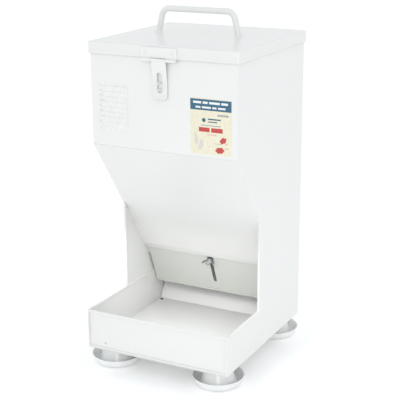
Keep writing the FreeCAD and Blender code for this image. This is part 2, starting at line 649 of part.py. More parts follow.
def carry_handle():
    """Bent round rod with splayed legs and a collar at each foot."""
    base = FreeCAD.Vector(size("handle_offset"), size("handle_back"), size("lid_top"))
    body = new_body("carry_handle", BODY_PLACE * FreeCAD.Placement(base, FreeCAD.Rotation()))
    rod = sweep(body, "YZ_Plane", ("0", "handle_rise"), "handle_rod", handle_path(body))
    mirror = body.newObject("PartDesign::Mirrored", "OtherHalf")
    mirror.Originals = [rod]
    mirror.MirrorPlane = (origin_plane(body, "YZ_Plane"), [""])
    body.Tip = mirror
    doc.recompute()
    spots = [(f"{side} * handle_half", "0") for side in (-1, 1)]
    for spot in spots:
        add_disc(body, "XY_Plane", spot, "collar_rim", "0", "collar_rise")
    cut_holes(body, "XY_Plane", spots, SCREW_HOLE, "-1", "screw_reach + 0.8")


def hasp_plate():
    """Plate on the lid's front flange that carries the two outer knuckles of the hasp."""
    body = new_body("hasp_plate", BODY_PLACE)
    face = "-lid_overhang - leaf_gauge"
    plate = box_corners(face, "-lid_overhang", "hasp_height + 2.6", "hasp_height + leaf_rise")
    add_pad(body, "YZ_Plane", [plate], "hasp_offset - hasp_plate_width / 2", "hasp_plate_width")
    web = box_corners(face, "-lid_overhang", "hasp_height", "hasp_height + 3")
    half = size("hasp_plate_width") / 2
    inner = size("strap_width") / 2 + size("knuckle_gap")
    spans = [(-half, -inner), (inner, half)]
    add_knuckles(body, spans, HASP_AXIS, "hasp_barrel", "hasp_bore", web, size("hasp_offset"))
    spots = [(f"hasp_offset + {x}", HASP_RIVET_LINE) for x in HASP_RIVETS]
    cut_holes(body, "XZ_Plane", spots, RIVET_HOLE, "lid_overhang - 1", "leaf_gauge + 2")


def strap_outline():
    """The strap from the side: bowed out at the top, upright at the slot, flared at the end."""
    axis_y = HASP_AXIS[0]
    return ((axis_y, "hasp_height - 1"), (f"{axis_y} + strap_gauge", "hasp_height - 1.9"),
            ("-strap_bow_reach", "strap_bow_height"), ("-strap_flat_reach", "strap_flat_top"),
            ("-strap_flat_reach", "strap_flat_low"), ("-strap_toe_reach", "strap_end"),
            ("-strap_toe_reach - strap_gauge", "strap_end"),
            ("-strap_flat_reach - strap_gauge", "strap_flat_low + 0.5"),
            ("-strap_flat_reach - strap_gauge", "strap_flat_top"),
            ("-strap_bow_reach - strap_gauge", "strap_bow_height"), (axis_y, "hasp_height - 2"))


def hasp_strap():
    """Slotted strap that hangs from the hasp plate and flares at its lower end."""
    body = new_body("hasp_strap", BODY_PLACE)
    axis_y = HASP_AXIS[0]
    half = size("strap_width") / 2
    add_pad(body, "YZ_Plane", [strap_outline()], "hasp_offset - strap_width / 2", "strap_width")
    web = box_corners(f"{axis_y} - 0.4", f"{axis_y} + 0.6", "hasp_height - 2", "hasp_height - 1.3")
    add_knuckles(body, [(-half, half)], HASP_AXIS, "hasp_barrel", "hasp_bore", web, size("hasp_offset"))
    low, high = "strap_slot_low + strap_slot_half", "strap_slot_top - strap_slot_half"
    slot = box_corners("hasp_offset - strap_slot_half", "hasp_offset + strap_slot_half", low, high)
    cut_outline(body, "XZ_Plane", slot, "0", "9")
    cut_holes(body, "XZ_Plane", [("hasp_offset", low), ("hasp_offset", high)], "strap_slot_half", "0", "9")
    end = size("strap_end")
    round_edges(body, 3.0, lambda edge: runs_along(edge, ALONG_Y)
                and abs(middle(edge).z - end) < 0.6 and edge.Length < 2)


def padlock_staple():
    """Round-rod loop welded to the front panel, standing through the strap's slot."""
    place = BODY_PLACE * FreeCAD.Placement(
        FreeCAD.Vector(size("hasp_offset"), 0, size("staple_low")), FreeCAD.Rotation())
    body = new_body("padlock_staple", place)
    path = new_sketch(body, "YZ_Plane")
    reach, bend = size("staple_reach"), size("staple_rise") / 2
    legs = []
    for height in (0, 2 * bend):
        line = Part.LineSegment(FreeCAD.Vector(0, height, 0), FreeCAD.Vector(-reach, height, 0))
        legs.append(path.addGeometry(line, False))
    circle = Part.Circle(FreeCAD.Vector(-reach, bend, 0), ALONG_Z, bend)
    arc = path.addGeometry(Part.ArcOfCircle(circle, math.pi / 2, 1.5 * math.pi), False)
    hold_point(path, legs[0], 1, "0", "0")
    hold_point(path, legs[1], 1, "0", "staple_rise")
    hold_point(path, arc, 3, "-staple_reach", "staple_rise / 2")
    path.addConstraint(Sketcher.Constraint("Tangent", legs[0], 2, arc, 2))
    path.addConstraint(Sketcher.Constraint("Tangent", legs[1], 2, arc, 1))
    path.addConstraint(Sketcher.Constraint("Horizontal", legs[0]))
    sweep(body, "XZ_Plane", ("0", "0"), "staple_rod", path)


# ---- feet, labels and fasteners ----------------------------------------------------------------

def moat_foot(name, side, back):
    """Water moat with a hollow pedestal: crawling insects would have to cross the water."""
    place = FreeCAD.Placement(
        FreeCAD.Vector(side * size("foot_offset"), size(back) + BODY_PLACE.Base.y, 0), FreeCAD.Rotation())
    body = new_body("moat_foot_" + name, place)
    crown = "foot_height - foot_crown"
    revolve(body, (("foot_bore", crown), ("cone_top - 2.4", crown),
                   ("cone_foot - moat_gauge", "0"), ("moat_base", "0"), ("moat_rim", "moat_rise - 1"),
                   ("moat_rim", "moat_rise"), ("moat_rim - moat_gauge", "moat_rise"),
                   ("moat_base - 1", "moat_gauge"), ("cone_foot", "moat_gauge"),
                   ("cone_top", "foot_height"), ("foot_bore", "foot_height")))
    base = size("moat_base")
    floor = base - 1
    round_edges(body, 4.0, lambda edge: edge.Closed and abs(edge.Curve.Radius - base) < 0.01)
    round_edges(body, 2.0, lambda edge: edge.Closed and isinstance(edge.Curve, Part.Circle)
                and abs(edge.Curve.Radius - floor) < 0.01 and middle(edge).z > 1)


def sticker(label, left, right, low, high):
    """A flat label stuck to the front panel."""
    body = new_body(label, BODY_PLACE)
    add_pad(body, "XZ_Plane", [box_corners(left, right, low, high)], "0", "label_gauge")


def rivet(grip):
    """Blind rivet along +Z: domed head at the origin, shank through grip, set tail behind."""
    shank = size("rivet_bore")
    return turned_solid(((0, 1.3), (1.2, 1.1), (2.2, 0.6), (2.8, 0), (shank, 0), (shank, -grip),
                         (2.3, -grip), (2.0, -grip - 0.9), (0, -grip - 0.9)))


def hinge_rivets():
    """Two rows of rivets, one through each leaf of the lid hinge."""
    lid_face = size("hinge_back") - size("hinge_barrel") + size("leaf_gauge")
    body_face = size("body_depth") + size("leaf_gauge")
    rows = (("hinge_lid_rivets", lid_face, size("hinge_height") + size("leaf_rise") / 1.5),
            ("hinge_body_rivets", body_face, size("hinge_height") - size("leaf_drop") / 1.5))
    for label, y, z in rows:
        places = [aimed(x, y, z, ALONG_Y) for x in HINGE_RIVETS]
        fastener_group(label, rivet(size("leaf_gauge") + size("gauge")), places, BODY_PLACE)


def hasp_rivets():
    """Rivets through the hasp plate and the lid's front flange."""
    y = -size("lid_overhang") - size("leaf_gauge")
    z = size("hasp_height") + size("leaf_rise") / 1.6
    places = [aimed(size("hasp_offset") + x, y, z, -ALONG_Y) for x in HASP_RIVETS]
    fastener_group("hasp_rivets", rivet(size("leaf_gauge") + size("gauge")), places, BODY_PLACE)


def handle_screws():
    """Pan-head screws from inside the lid up into the handle's feet."""
    shank = size("screw_bore")
    under = size("lid_top") - size("gauge")
    reach = size("screw_reach")
    screw = turned_solid(((0, -2.4), (2.6, -2.4), (3.8, -1.4), (3.8, 0), (shank, 0),
                          (shank, reach), (0, reach)))
    places = [aimed(size("handle_offset") + side * size("handle_half"), size("handle_back"), under, ALONG_Z)
              for side in (-1, 1)]
    fastener_group("handle_screws", screw, places, BODY_PLACE)


def hexagon(across_flats, height):
    """A six-sided prism standing on the XY plane."""
    corner = across_flats / math.sqrt(3)
    angles = [math.radians(60 * step) for step in range(7)]
    points = [FreeCAD.Vector(corner * math.cos(angle), corner * math.sin(angle), 0) for angle in angles]
    return Part.Face(Part.makePolygon(points)).extrude(FreeCAD.Vector(0, 0, height))


def foot_fasteners():
    """Bolt from inside each pedestal, with a washer and a nut on the floor panel."""
    head, nut_height, flats = size("foot_head_rise"), size("foot_nut_rise"), size("foot_flats")
    shank = Part.makeCylinder(size("foot_shank"), size("foot_bolt_reach"), FreeCAD.Vector(0, 0, head))
    bolt = hexagon(flats, head).fuse(shank).removeSplitter()
    bore, rim, gauge = size("foot_bore"), size("foot_washer_rim"), size("foot_washer_gauge")
    washer = turned_solid(((bore, 0), (rim, 0), (rim, gauge), (bore, gauge)))
    nut = hexagon(flats, nut_height).cut(Part.makeCylinder(size("foot_nut_bore"), nut_height))
    seat = size("foot_height") - size("foot_crown")
    deck = size("foot_height") + size("gauge")
    places = [(side * size("foot_offset"), size(back)) for _, side, back in FEET]
    frame = FreeCAD.Placement(FreeCAD.Vector(0, BODY_PLACE.Base.y, 0), FreeCAD.Rotation())
    for label, solid, z in (("foot_bolts", bolt, seat - head), ("foot_washers", washer, deck),
                            ("foot_nuts", nut, deck + gauge)):
        fastener_group(label, solid, [aimed(x, y, z, ALONG_Z) for x, y in places], frame)


# ---- the whole feeder --------------------------------------------------------------------------

def build_all():
    for word, side in (("left", -1), ("right", 1)):
        side_panel(word + "_side_panel", side)
        tray_liner(word + "_tray_liner", side)
    front_panel()
    slope_panel()
    back_panel()
    floor_panel()
    ramp_panel()
    tray_front_wall()
    gate_plate()
    gate_cross_bar()
    gate_bolt()
    gate_washer()
    wing_nut()
    lid_shell()
    hinge_body_leaf()
    hinge_lid_leaf()
    round_pin("hinge_pin", "hinge_pin", "hinge_length + 1", size("hinge_back"), size("hinge_height"), 0)
    hinge_rivets()
    carry_handle()
    handle_screws()
    hasp_plate()
    hasp_strap()
    round_pin("hasp_pin", "hasp_pin_bore", "hasp_plate_width + 0.8",
              -size("lid_overhang") - size("hasp_barrel"), size("hasp_height"), size("hasp_offset"))
    hasp_rivets()
    padlock_staple()
    for name, side, back in FEET:
        moat_foot(name, side, back)
    foot_fasteners()
    sticker("data_label", "data_left", "data_right", "data_low", "data_top")
    sticker("product_label", "face_left", "face_right", "face_low", "face_top")


def check_and_export():
    doc.recompute()
    for item in doc.Objects:
        if "Invalid" in item.State or "Error" in item.State:
            raise RuntimeError(f"{item.Label} did not rebuild: {item.State}")
    os.makedirs("parts", exist_ok=True)
    for part in subparts:
        if part.Shape.isNull() or not part.Shape.isValid():
            raise RuntimeError(f"{part.Label} has no sound shape")
        part.Shape.exportStep(f"parts/{part.Label}.step")
        print(f"{part.Label}: {len(part.Shape.Solids)} solid(s), {part.Shape.Volume:.1f} mm3")


build_all()
check_and_export()
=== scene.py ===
"""Looks of a gravity pet feeder in white enamelled steel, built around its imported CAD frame."""
import json
import math

import bmesh
import bpy
from bpy.props import FloatProperty, FloatVectorProperty, IntProperty, PointerProperty
from bpy.types import Operator, Panel, PropertyGroup
from mathutils import Matrix, Vector


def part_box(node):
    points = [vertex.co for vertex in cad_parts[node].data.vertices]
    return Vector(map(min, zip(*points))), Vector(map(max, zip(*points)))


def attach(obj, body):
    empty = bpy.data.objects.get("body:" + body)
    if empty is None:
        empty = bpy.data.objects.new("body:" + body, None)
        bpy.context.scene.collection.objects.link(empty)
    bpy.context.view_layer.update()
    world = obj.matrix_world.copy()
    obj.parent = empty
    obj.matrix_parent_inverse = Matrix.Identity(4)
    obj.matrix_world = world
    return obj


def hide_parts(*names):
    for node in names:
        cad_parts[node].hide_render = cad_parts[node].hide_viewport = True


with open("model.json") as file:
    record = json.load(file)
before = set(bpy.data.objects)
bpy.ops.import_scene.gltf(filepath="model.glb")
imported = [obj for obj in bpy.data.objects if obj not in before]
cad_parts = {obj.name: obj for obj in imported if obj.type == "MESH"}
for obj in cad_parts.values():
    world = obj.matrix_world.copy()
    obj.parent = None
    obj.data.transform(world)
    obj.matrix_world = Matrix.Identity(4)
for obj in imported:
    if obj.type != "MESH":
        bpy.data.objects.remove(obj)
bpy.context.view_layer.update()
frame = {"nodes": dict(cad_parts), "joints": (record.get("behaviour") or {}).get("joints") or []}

bl_info = {
    "name": "Gravity Pet Feeder",
    "version": (1, 0, 0),
    "blender": (4, 5, 0),
    "location": "View3D > Sidebar > Feeder",
    "description": "Builds the enamel, hardware and labels of a gravity pet feeder on its CAD frame",
    "category": "Object",
}

NODES = frame["nodes"]
JOINTS = {joint["name"]: joint for joint in frame["joints"]}
MM = 0.001
X, Y, Z = Vector((1, 0, 0)), Vector((0, 1, 0)), Vector((0, 0, 1))

# Where things are, read from the frame.
GATE_AXIS = Vector(JOINTS["wing_nut_turn"]["axis"]).normalized()
GATE_UP = Vector(JOINTS["gate_slide"]["axis"]).normalized()
BOLT_SPOT = Vector(JOINTS["wing_nut_turn"]["pos_m"])
HASP_AXIS = Vector(JOINTS["hasp_swing"]["pos_m"])
PANEL_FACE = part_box("front_panel")[0].y


def facing(origin, outward, up):
    """A matrix that carries +Z to outward and +Y to up, and the origin to a spot."""
    across = up.cross(outward)
    turn = Matrix((across, up, outward)).transposed().to_4x4()
    return Matrix.Translation(origin) @ turn


GATE_SPACE = facing(BOLT_SPOT, GATE_AXIS, GATE_UP)


# ---- sizes and colours -------------------------------------------------------------------------

def measure(name, description, default, least):
    """A length in metres that the panel shows."""
    return FloatProperty(name=name, description=description, default=default, min=least, unit="LENGTH")


def swatch(name, description, default):
    """A colour that the panel shows."""
    return FloatVectorProperty(name=name, description=description, default=default,
                               subtype="COLOR", size=3, min=0, max=1)


class FeederSizes(PropertyGroup):
    """Sizes of the pieces that the frame doesn't fix."""
    rod_radius: measure("Handle Rod", "Radius of the carry handle's rod", 4.3 * MM, 1.0 * MM)
    staple_radius: measure("Staple Rod", "Radius of the padlock staple's rod", 1.5 * MM, 0.5 * MM)
    sheet_gauge: measure("Sheet Gauge", "Thickness of the folded steel sheet", 0.8 * MM, 0.2 * MM)
    lid_crown: measure("Lid Crown", "Rise of the lid's shallow cross-break at its middle", 0.9 * MM, 0.0)
    hem_radius: measure("Hem Radius", "Radius of the rolled hems on the free edges", 1.7 * MM, 0.2 * MM)
    thread_pitch: measure("Thread Pitch", "Pitch of the clamp bolt's thread", 0.8 * MM, 0.2 * MM)
    round_steps: IntProperty(
        name="Round Steps", description="Straight steps round each turned piece",
        default=64, min=12, max=256)


class FeederColours(PropertyGroup):
    """Base colours of the finishes."""
    enamel: swatch("Enamel", "Colour of the stove enamel", (0.795, 0.795, 0.782))
    zinc: swatch("Zinc", "Colour of the zinc-plated hardware", (0.560, 0.570, 0.580))
    paper: swatch("Paper", "Colour of the writing label", (0.800, 0.798, 0.785))
    cream: swatch("Cream", "Field of the large label", (0.800, 0.755, 0.590))
    banner: swatch("Banner", "Banner of the large label", (0.010, 0.105, 0.190))
    accent: swatch("Accent", "Red print of the large label", (0.520, 0.035, 0.025))


def sizes():
    return bpy.context.scene.feeder_sizes


def colours():
    return bpy.context.scene.feeder_colours


# ---- materials ---------------------------------------------------------------------------------

class Finish:
    """A node-based material under construction: a Principled shader and the nodes that feed it."""

    def __init__(self, name, roughness, **steady):
        self.material = bpy.data.materials.new(name)
        self.material.use_nodes = True
        self.tree = self.material.node_tree
        self.shader = self.tree.nodes["Principled BSDF"]
        self.shader.inputs["Roughness"].default_value = roughness
        for socket, value in steady.items():
            self.shader.inputs[socket.replace("_", " ")].default_value = value
        self.place = self.add("ShaderNodeTexCoord").outputs["Object"]

    def add(self, kind, **settings):
        node = self.tree.nodes.new(kind)
        for key, value in settings.items():
            setattr(node, key, value)
        return node

    def join(self, source, target):
        self.tree.links.new(source, target)

    def noise(self, scale, detail=2.0, stretch=(1, 1, 1)):
        """Noise on the piece's own coordinates, in lumps per metre, drawn out along an axis."""
        mapping = self.add("ShaderNodeMapping")
        mapping.inputs["Scale"].default_value = stretch
        self.join(self.place, mapping.inputs["Vector"])
        noise = self.add("ShaderNodeTexNoise")
        noise.inputs["Scale"].default_value = scale
        noise.inputs["Detail"].default_value = detail
        self.join(mapping.outputs["Vector"], noise.inputs["Vector"])
        return noise.outputs["Fac"]

    def colour_between(self, factor, dark, light, low=0.35, high=0.65):
        """Base colour that drifts from dark to light with factor."""
        ramp = self.add("ShaderNodeValToRGB")
        ramp.color_ramp.elements[0].position = low
        ramp.color_ramp.elements[0].color = (*dark, 1)
        ramp.color_ramp.elements[1].position = high
        ramp.color_ramp.elements[1].color = (*light, 1)
        self.join(factor, ramp.inputs["Fac"])
        self.join(ramp.outputs["Color"], self.shader.inputs["Base Color"])
        return ramp.outputs["Color"]

    def roughness_between(self, factor, low, high):
        spread = self.add("ShaderNodeMapRange")
        spread.inputs["To Min"].default_value = low
        spread.inputs["To Max"].default_value = high
        self.join(factor, spread.inputs["Value"])
        self.join(spread.outputs["Result"], self.shader.inputs["Roughness"])

    def bumps(self, *layers):
        """Relief from (height, depth in metres, strength) layers, one on top of the other."""
        normal = None
        for height, depth, strength in layers:
            bump = self.add("ShaderNodeBump")
            bump.inputs["Distance"].default_value = depth
            bump.inputs["Strength"].default_value = strength
            self.join(height, bump.inputs["Height"])
            if normal:
                self.join(normal, bump.inputs["Normal"])
            normal = bump.outputs["Normal"]
        self.join(normal, self.shader.inputs["Normal"])


def shade(colour, factor):
    return tuple(min(1.0, channel * factor) for channel in colour)


def tinted(colour, red, green, blue):
    return (colour[0] * red, colour[1] * green, colour[2] * blue)


def finish_named(name):
    return bpy.data.materials[name]


def stove_enamel(name, colour, dulling=0.0):
    """Glossy stove enamel on folded sheet: orange peel, slight waviness and uneven thickness."""
    finish = Finish(name, 0.3, Coat_Weight=0.25, Coat_Roughness=0.12, IOR=1.5)
    film = finish.noise(5.0, 1.0)
    finish.colour_between(film, shade(colour, 0.988), shade(colour, 1.008), 0.15, 0.85)
    finish.roughness_between(finish.noise(8.0, 1.0), 0.27 + dulling, 0.34 + dulling)
    peel = finish.noise(260.0, 0.0)
    wave = finish.noise(5.0, 0.0)
    finish.bumps((wave, 0.5 * MM, 0.15), (peel, 0.02 * MM, 0.10))
    return finish.material


def zinc_plate(name, colour, grain=(1, 1, 1)):
    """Bright zinc plating with faint drawn lines and a mottled passivated tone."""
    finish = Finish(name, 0.3, Metallic=1.0, IOR=2.0)
    mottle = finish.noise(160.0, 5.0)
    finish.colour_between(mottle, shade(colour, 0.74), shade(colour, 1.12))
    finish.roughness_between(finish.noise(500.0, 2.0, grain), 0.22, 0.44)
    finish.bumps((finish.noise(900.0, 2.0, grain), 0.03 * MM, 0.5))
    return finish.material


def moulded_white(name, colour):
    """Foot enamel: smoother and a little cooler, with a mottled tone."""
    finish = Finish(name, 0.2, Coat_Weight=0.4, Coat_Roughness=0.06, IOR=1.5)
    cool = tinted(colour, 1.05, 1.06, 1.07)
    finish.colour_between(finish.noise(40.0, 3.0), shade(cool, 0.95), shade(cool, 1.02))
    finish.roughness_between(finish.noise(90.0, 2.0), 0.16, 0.30)
    finish.bumps((finish.noise(120.0, 1.0), 0.05 * MM, 0.2), (finish.noise(500.0, 1.0), 0.02 * MM, 0.16))
    return finish.material


def label_stock(name, colour):
    """Glossed label paper: faint fibres under a thin film."""
    finish = Finish(name, 0.4, Coat_Weight=0.25, Coat_Roughness=0.15, IOR=1.45)
    fibre = finish.noise(420.0, 6.0, (1, 1, 0.35))
    finish.colour_between(fibre, shade(colour, 0.95), shade(colour, 1.03))
    finish.roughness_between(fibre, 0.34, 0.5)
    finish.bumps((fibre, 0.02 * MM, 0.4))
    return finish.material


def printed_ink(name, colour):
    """Screen-printed ink, slightly broken where the paper shows through."""
    finish = Finish(name, 0.42, Coat_Weight=0.2, Coat_Roughness=0.2, IOR=1.45)
    speckle = finish.noise(900.0, 5.0)
    finish.colour_between(speckle, colour, tuple(c + (1 - c) * 0.10 for c in colour), 0.4, 0.75)
    finish.roughness_between(speckle, 0.36, 0.52)
    finish.bumps((speckle, 0.01 * MM, 0.4))
    return finish.material


def studio_floor(name):
    """Pale seamless paper under the feeder, lit from beneath as on a light table."""
    finish = Finish(name, 0.9, Specular_IOR_Level=0.1,
                    Emission_Color=(1, 1, 1, 1), Emission_Strength=0.12)
    grain = finish.noise(30.0, 3.0)
    finish.colour_between(grain, (0.955, 0.957, 0.957), (0.97, 0.97, 0.97))
    finish.roughness_between(grain, 0.85, 0.95)
    finish.bumps((finish.noise(300.0, 3.0), 0.05 * MM, 0.2))
    return finish.material


# ---- mesh helpers ------------------------------------------------------------------------------

def mesh_from(name, vertices, faces):
    mesh = bpy.data.meshes.new(name)
    mesh.from_pydata([tuple(v) for v in vertices], [], faces)
    mesh.update()
    return mesh


def linked(name, data):
    """An object in the scene around its data."""
    item = bpy.data.objects.new(name, data)
    bpy.context.scene.collection.objects.link(item)
    return item


def settled(holder):
    """The plain mesh of an object with its modifiers applied."""
    graph = bpy.context.evaluated_depsgraph_get()
    return bpy.data.meshes.new_from_object(holder.evaluated_get(graph))


def cleaned(mesh, gap=1e-6):
    """Merges doubles and turns every face outwards."""
    work = bmesh.new()
    work.from_mesh(mesh)
    bmesh.ops.remove_doubles(work, verts=work.verts, dist=gap)
    bmesh.ops.dissolve_degenerate(work, edges=work.edges, dist=gap / 10)
    bmesh.ops.recalc_face_normals(work, faces=work.faces)
    work.to_mesh(mesh)
    work.free()
    return mesh


def joined(name, meshes):
    """One mesh from several, each keeping its material indices."""
    work = bmesh.new()
    for mesh in meshes:
        work.from_mesh(mesh)
    whole = bpy.data.meshes.new(name)
    work.to_mesh(whole)
    work.free()
    return whole


def add_piece(name, mesh, finishes, body, replaced=(), smooth_angle=40.0):
    """A finished piece: mesh, finishes by name, smooth shading, and its place on the frame."""
    piece = linked(name, mesh)
    numbers = [min(face.material_index, len(finishes) - 1) for face in mesh.polygons]
    mesh.materials.clear()
    for finish in finishes:
        mesh.materials.append(finish_named(finish))
    mesh.polygons.foreach_set("material_index", numbers)
    mesh.shade_smooth()
    mesh.set_sharp_from_angle(angle=math.radians(smooth_angle))
    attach(piece, body)
    if replaced:
        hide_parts(*replaced)


def arc_points(centre, radius, start, end, steps):
    """Points on an arc in the plane, angles in degrees."""
    angles = [math.radians(start + (end - start) * step / steps) for step in range(steps + 1)]
    return [(centre[0] + radius * math.cos(a), centre[1] + radius * math.sin(a)) for a in angles]


def rounded_box(left, right, low, high, radius, steps=5):
    """Corner points of a rectangle with rounded corners."""
    corners = (((right - radius, low + radius), -90), ((right - radius, high - radius), 0),
               ((left + radius, high - radius), 90), ((left + radius, low + radius), 180))
    return [point for centre, start in corners
            for point in arc_points(centre, radius, start, start + 90, steps)]


def long_hole(middle, low, high, half, steps=10):
    """Outline of a slot with round ends."""
    return (arc_points((middle, high - half), half, 0, 180, steps)
            + arc_points((middle, low + half), half, 180, 360, steps))


def plate(outline, holes, gauge, soft):
    """A flat plate with softened edges: outline in X and Y, thickness from z = 0 to gauge."""
    shape = bpy.data.curves.new("plate", "CURVE")
    shape.dimensions = "2D"
    shape.fill_mode = "BOTH"
    for loop in (outline, *holes):
        spline = shape.splines.new("POLY")
        spline.points.add(len(loop) - 1)
        for point, (u, v) in zip(spline.points, loop):
            point.co = (u, v, 0, 1)
        spline.use_cyclic_u = True
    shape.extrude = gauge / 2 - soft
    shape.bevel_depth = soft
    shape.bevel_resolution = 2
    shape.offset = -soft
    holder = linked("plate", shape)
    mesh = settled(holder)
    bpy.data.objects.remove(holder)
    bpy.data.curves.remove(shape)
    mesh.transform(Matrix.Translation((0, 0, gauge / 2)))
    return cleaned(mesh)


def sliced(mesh, spots, axis):
    """Cuts a mesh across at several places along an axis, so that it can be bent there."""
    work = bmesh.new()
    work.from_mesh(mesh)
    for spot in spots:
        everything = work.verts[:] + work.edges[:] + work.faces[:]
        bmesh.ops.bisect_plane(work, geom=everything, plane_co=axis * spot, plane_no=axis)
    bmesh.ops.triangulate(work, faces=work.faces)
    work.to_mesh(mesh)
    work.free()
    return mesh


def bent(mesh, rule):
    """Moves every vertex by a rule that takes and gives a point."""
    for vertex in mesh.vertices:
        vertex.co = rule(vertex.co.copy())
    mesh.update()
    return mesh


def ribbon(path, left, right, gauge):
    """A sheet of one thickness that follows a (y, z) path and runs from left to right along X."""
    sides = []
    for index, (y, z) in enumerate(path):
        before = Vector(path[max(index - 1, 0)])
        after = Vector(path[min(index + 1, len(path) - 1)])
        along = (after - before).normalized()
        across = Vector((-along.y, along.x)) * gauge / 2
        sides.append(((y + across.x, z + across.y), (y - across.x, z - across.y)))
    ring = [side[0] for side in sides] + [side[1] for side in reversed(sides)]
    count = len(ring)
    vertices = [(x, y, z) for x in (left, right) for y, z in ring]
    faces = [(i, (i + 1) % count, count + (i + 1) % count, count + i) for i in range(count)]
    half = len(path)
    for start in (0, count):
        faces += [(start + i, start + i + 1, start + count - 2 - i, start + count - 1 - i)
                  for i in range(half - 1)]
    return cleaned(mesh_from("ribbon", vertices, faces))


def smooth_path(points, steps):
    """A Catmull-Rom path through 2D or 3D points."""
    ends = [points[0], *points, points[-1]]
    result = []
    for a, b, c, d in zip(ends, ends[1:], ends[2:], ends[3:]):
        a, b, c, d = Vector(a), Vector(b), Vector(c), Vector(d)
        for step in range(steps):
            t = step / steps
            result.append(b + (c - a) * t / 2 + (a * 2 - b * 5 + c * 4 - d) * t * t / 2
                          + (b * 3 - a - c * 3 + d) * t ** 3 / 2)
    result.append(Vector(points[-1]))
    return result


# ---- geometry-node rules -----------------------------------------------------------------------

class Rule:
    """A geometry-node tree under construction, with named inputs."""

    def __init__(self, name):
        self.tree = bpy.data.node_groups.new(name, "GeometryNodeTree")
        face = self.tree.interface
        face.new_socket("Geometry", in_out="INPUT", socket_type="NodeSocketGeometry")
        face.new_socket("Geometry", in_out="OUTPUT", socket_type="NodeSocketGeometry")
        self.start = self.tree.nodes.new("NodeGroupInput")
        self.end = self.tree.nodes.new("NodeGroupOutput")

    def ask(self, name, kind, value=None):
        """Adds a named input and gives its socket inside the tree."""
        socket = self.tree.interface.new_socket(name, in_out="INPUT", socket_type="NodeSocket" + kind)
        if value is not None:
            socket.default_value = value
        return self.start.outputs[name]

    def add(self, kind, feeds=None, **settings):
        """A node with its settings, and what feeds its sockets: another socket or a value."""
        node = self.tree.nodes.new(kind)
        for key, value in settings.items():
            setattr(node, key, value)
        for socket, value in (feeds or {}).items():
            if isinstance(value, bpy.types.NodeSocket):
                self.tree.links.new(value, node.inputs[socket])
            else:
                node.inputs[socket].default_value = value
        return node

    def maths(self, operation, first, second):
        node = self.add("ShaderNodeMath", {0: first, 1: second}, operation=operation)
        return node.outputs["Value"]

    def close(self, geometry, material):
        """Ends the tree: plain mesh in one material."""
        real = self.add("GeometryNodeRealizeInstances", {"Geometry": geometry})
        painted = self.add("GeometryNodeSetMaterial",
                           {"Geometry": real.outputs["Geometry"], "Material": material})
        self.tree.links.new(painted.outputs["Geometry"], self.end.inputs["Geometry"])
        return self.tree


def turned_row_rule():
    """Turns a profile (radius in X, height in Z) about Z, and repeats it on a grid of spots."""
    rule = Rule("Turned pieces on a grid")
    profile = rule.start.outputs["Geometry"]
    steps = rule.ask("Steps", "Int", 48)
    count_across = rule.ask("Count Across", "Int", 1)
    count_along = rule.ask("Count Along", "Int", 1)
    reach_across = rule.ask("Reach Across", "Float", 0.0)
    reach_along = rule.ask("Reach Along", "Float", 0.0)
    centre = rule.ask("Centre", "Vector")
    aim = rule.ask("Aim", "Vector")
    material = rule.ask("Material", "Material")
    points = rule.add("GeometryNodeAttributeDomainSize", {"Geometry": profile}, component="MESH")
    rows = points.outputs["Point Count"]
    columns = rule.maths("ADD", steps, 1.0)
    web = rule.add("GeometryNodeMeshGrid", {"Vertices X": columns, "Vertices Y": rows})
    index = rule.add("GeometryNodeInputIndex").outputs["Index"]
    row = rule.maths("MODULO", index, rows)
    column = rule.maths("FLOOR", rule.maths("DIVIDE", index, rows), 0.0)
    angle = rule.maths("MULTIPLY", rule.maths("DIVIDE", column, steps), 2 * math.pi)
    drawn = rule.add("GeometryNodeSampleIndex", {"Geometry": profile, "Index": row},
                     data_type="FLOAT_VECTOR", domain="POINT")
    where = rule.add("GeometryNodeInputPosition").outputs["Position"]
    rule.tree.links.new(where, drawn.inputs["Value"])
    swung = rule.add("ShaderNodeVectorRotate",
                     {"Vector": drawn.outputs["Value"], "Axis": (0, 0, 1), "Angle": angle})
    shaped = rule.add("GeometryNodeSetPosition",
                      {"Geometry": web.outputs["Mesh"], "Position": swung.outputs["Vector"]})
    closed = rule.add("GeometryNodeMergeByDistance",
                      {"Geometry": shaped.outputs["Geometry"], "Distance": 1e-6})
    spots = rule.add("GeometryNodeMeshGrid", {
        "Size X": reach_across, "Size Y": reach_along,
        "Vertices X": count_across, "Vertices Y": count_along})
    copies = rule.add("GeometryNodeInstanceOnPoints",
                      {"Points": spots.outputs["Mesh"], "Instance": closed.outputs["Geometry"]})
    placed = rule.add("GeometryNodeTransform", {
        "Geometry": copies.outputs["Instances"], "Translation": centre, "Rotation": aim})
    return rule.close(placed.outputs["Geometry"], material)


def rod_rule():
    """A round rod with closed ends along every path drawn as connected edges."""
    rule = Rule("Round rod along a path")
    radius = rule.ask("Radius", "Float", 0.001)
    sides = rule.ask("Sides", "Int", 24)
    material = rule.ask("Material", "Material")
    path = rule.add("GeometryNodeMeshToCurve", {"Mesh": rule.start.outputs["Geometry"]})
    ring = rule.add("GeometryNodeCurvePrimitiveCircle", {"Radius": radius, "Resolution": sides})
    rod = rule.add("GeometryNodeCurveToMesh", {
        "Curve": path.outputs["Curve"], "Profile Curve": ring.outputs["Curve"], "Fill Caps": True})
    return rule.close(rod.outputs["Mesh"], material)


def path_mesh(*paths):
    """Connected edges through each list of points."""
    vertices, edges = [], []
    for points in paths:
        first = len(vertices)
        vertices += [tuple(point) for point in points]
        edges += [(first + step, first + step + 1) for step in range(len(points) - 1)]
    mesh = bpy.data.meshes.new("path")
    mesh.from_pydata(vertices, edges, [])
    return mesh


